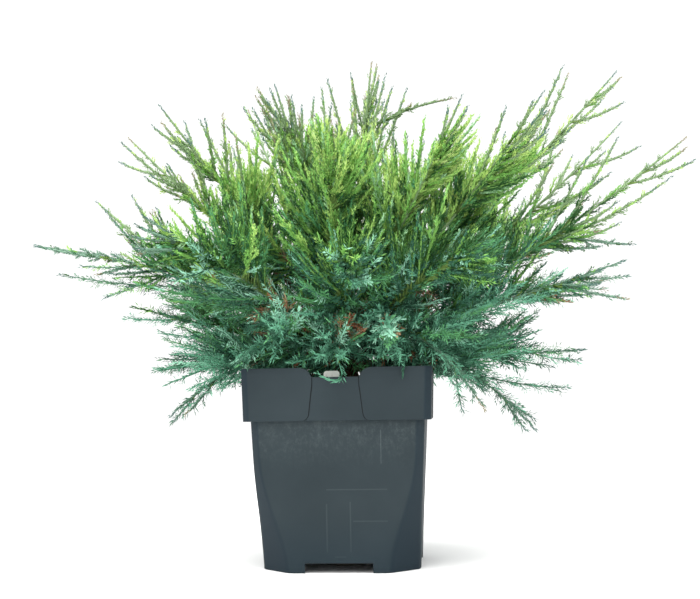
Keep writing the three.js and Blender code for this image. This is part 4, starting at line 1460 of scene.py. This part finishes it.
def make_foliage(stems):
    for kind, leaf, use in (("scale_leaves", SCALE, 0), ("needles", NEEDLE, 1)):
        sets = []
        for name, group in stems.items():
            rule = DRESSING[name]
            size = rule["size"][use]
            chosen = group.take(group.needle == bool(use))
            made = leaf_faces(chosen, leaf, STEM_RADIUS[name], rule["from"], size, rule["spacing"])
            sets.append(made)
        points, tints, masses = (np.concatenate([part[item] for part in sets]) for item in range(3))
        for number, tier in enumerate(TIERS):
            chosen = MASS_TIERS[masses] == number
            if chosen.any():
                leaf_pieces(f"{kind}_{tier}", points[chosen], tints[chosen], masses[chosen])


def make_twigs(stems):
    shoots = stems["shoots"]
    straight = shoots.length <= SHOOT["straight"]
    kinds = {
        "limbs": stems["limbs"],
        "leaders": stems["leaders"],
        "shoots": shoots.take(~straight),
        "straight": shoots.take(straight),
        "branchlets": stems["branchlets"],
    }
    limb_first = np.minimum(LIMBS.first, BOUGH_END - IN_BOUGH)
    for tier_number, tier in enumerate(TIERS):
        points, faces, tints = [], [], []
        start = 0
        for kind, group in kinds.items():
            rule = TWIG[kind]
            chosen = MASS_TIERS[group.mass] == tier_number
            own = group.take(chosen)
            first = limb_first[chosen] if kind == "limbs" else np.zeros(len(own))
            shape, index, shares = tubes(own, first, STEM_RADIUS[kind], rule["steps"], rule["sides"])
            points.append(shape)
            faces.append(index + start)
            start += len(shape)
            past = shares - rule["brown"]
            wood = np.where(past < 0, tint("stem_brown"), tint("stem_olive"))
            tip = own.main[:, None] & (shares == 1)
            bare = own.main & ~own.needle & (own.tip == own.tint)
            green = np.where(bare, tint("stem_green"), own.tint)[:, None]
            leafy = np.where(tip, own.tip[:, None], green)
            tints.append(np.where(past < OLIVE_WOOD, wood, leafy).ravel())
        joined = [np.concatenate(parts) for parts in (points, faces, tints)]
        piece = piece_from_triangles(f"twigs_{tier}", *joined, f"foliage_{tier}", True)
        names = [f"foliage_{mass['name']}" for mass in MASSES if mass["tier"] == tier]
        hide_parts(*names)


# Camera, light and floor


def make_camera():
    lens = bpy.data.cameras.new("camera")
    lens.sensor_width = CAMERA["film"]
    lens.lens = lens.sensor_width * CAMERA["focal"] / IMAGE[0]
    camera = link_object("camera", lens)
    turn = math.radians(CAMERA["azimuth"])
    place = Vector((math.sin(turn), -math.cos(turn), 0)) * CAMERA["distance"]
    place.z = CAMERA["height"]
    heading = Matrix.Rotation(math.radians(CAMERA["azimuth"] - CAMERA["aim"]), 4, "Z")
    pitch = Matrix.Rotation(math.radians(90 + CAMERA["pitch"]), 4, "X")
    roll = Matrix.Rotation(math.radians(CAMERA["roll"]), 4, "Z")
    camera.matrix_world = Matrix.Translation(place * MM) @ heading @ pitch @ roll
    bpy.context.scene.camera = camera


def area_light(name, place, size, watts, shade):
    lamp = bpy.data.lights.new(name, "AREA")
    lamp.size = size
    lamp.energy = watts
    lamp.color = shade
    light = link_object(name, lamp)
    light.location = place
    aim = Vector(LIT_POINT) - Vector(place)
    light.rotation_euler = aim.to_track_quat("-Z", "Y").to_euler()


def make_studio():
    bm = bmesh.new()
    bmesh.ops.create_grid(bm, x_segments=8, y_segments=8, size=FLOOR_SIZE)
    mesh = mesh_from("floor", bm)
    constants = {"Base Color": (0.96, 0.96, 0.96, 1), "Roughness": 0.9, "Specular IOR Level": 0.1}
    finish = Finish("floor_white", constants)
    mesh.materials.append(finish.material)
    floor = link_object("floor", mesh)
    world = bpy.data.worlds.new("studio")
    world.use_nodes = True
    background = world.node_tree.nodes["Background"]
    background.inputs["Color"].default_value = (1, 1, 1, 1)
    background.inputs["Strength"].default_value = SKY
    bpy.context.scene.world = world
    for name, light in LIGHTS.items():
        area_light(name, *light)
    bpy.context.scene.view_settings.view_transform = "Standard"


make_camera()
make_studio()
make_pot()
make_soil()
make_soil_bits()
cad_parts["label"].data.materials.clear()
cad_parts["label"].data.materials.append(label_finish())
make_bark()
stems = grow_stems()
make_foliage(stems)
make_twigs(stems)
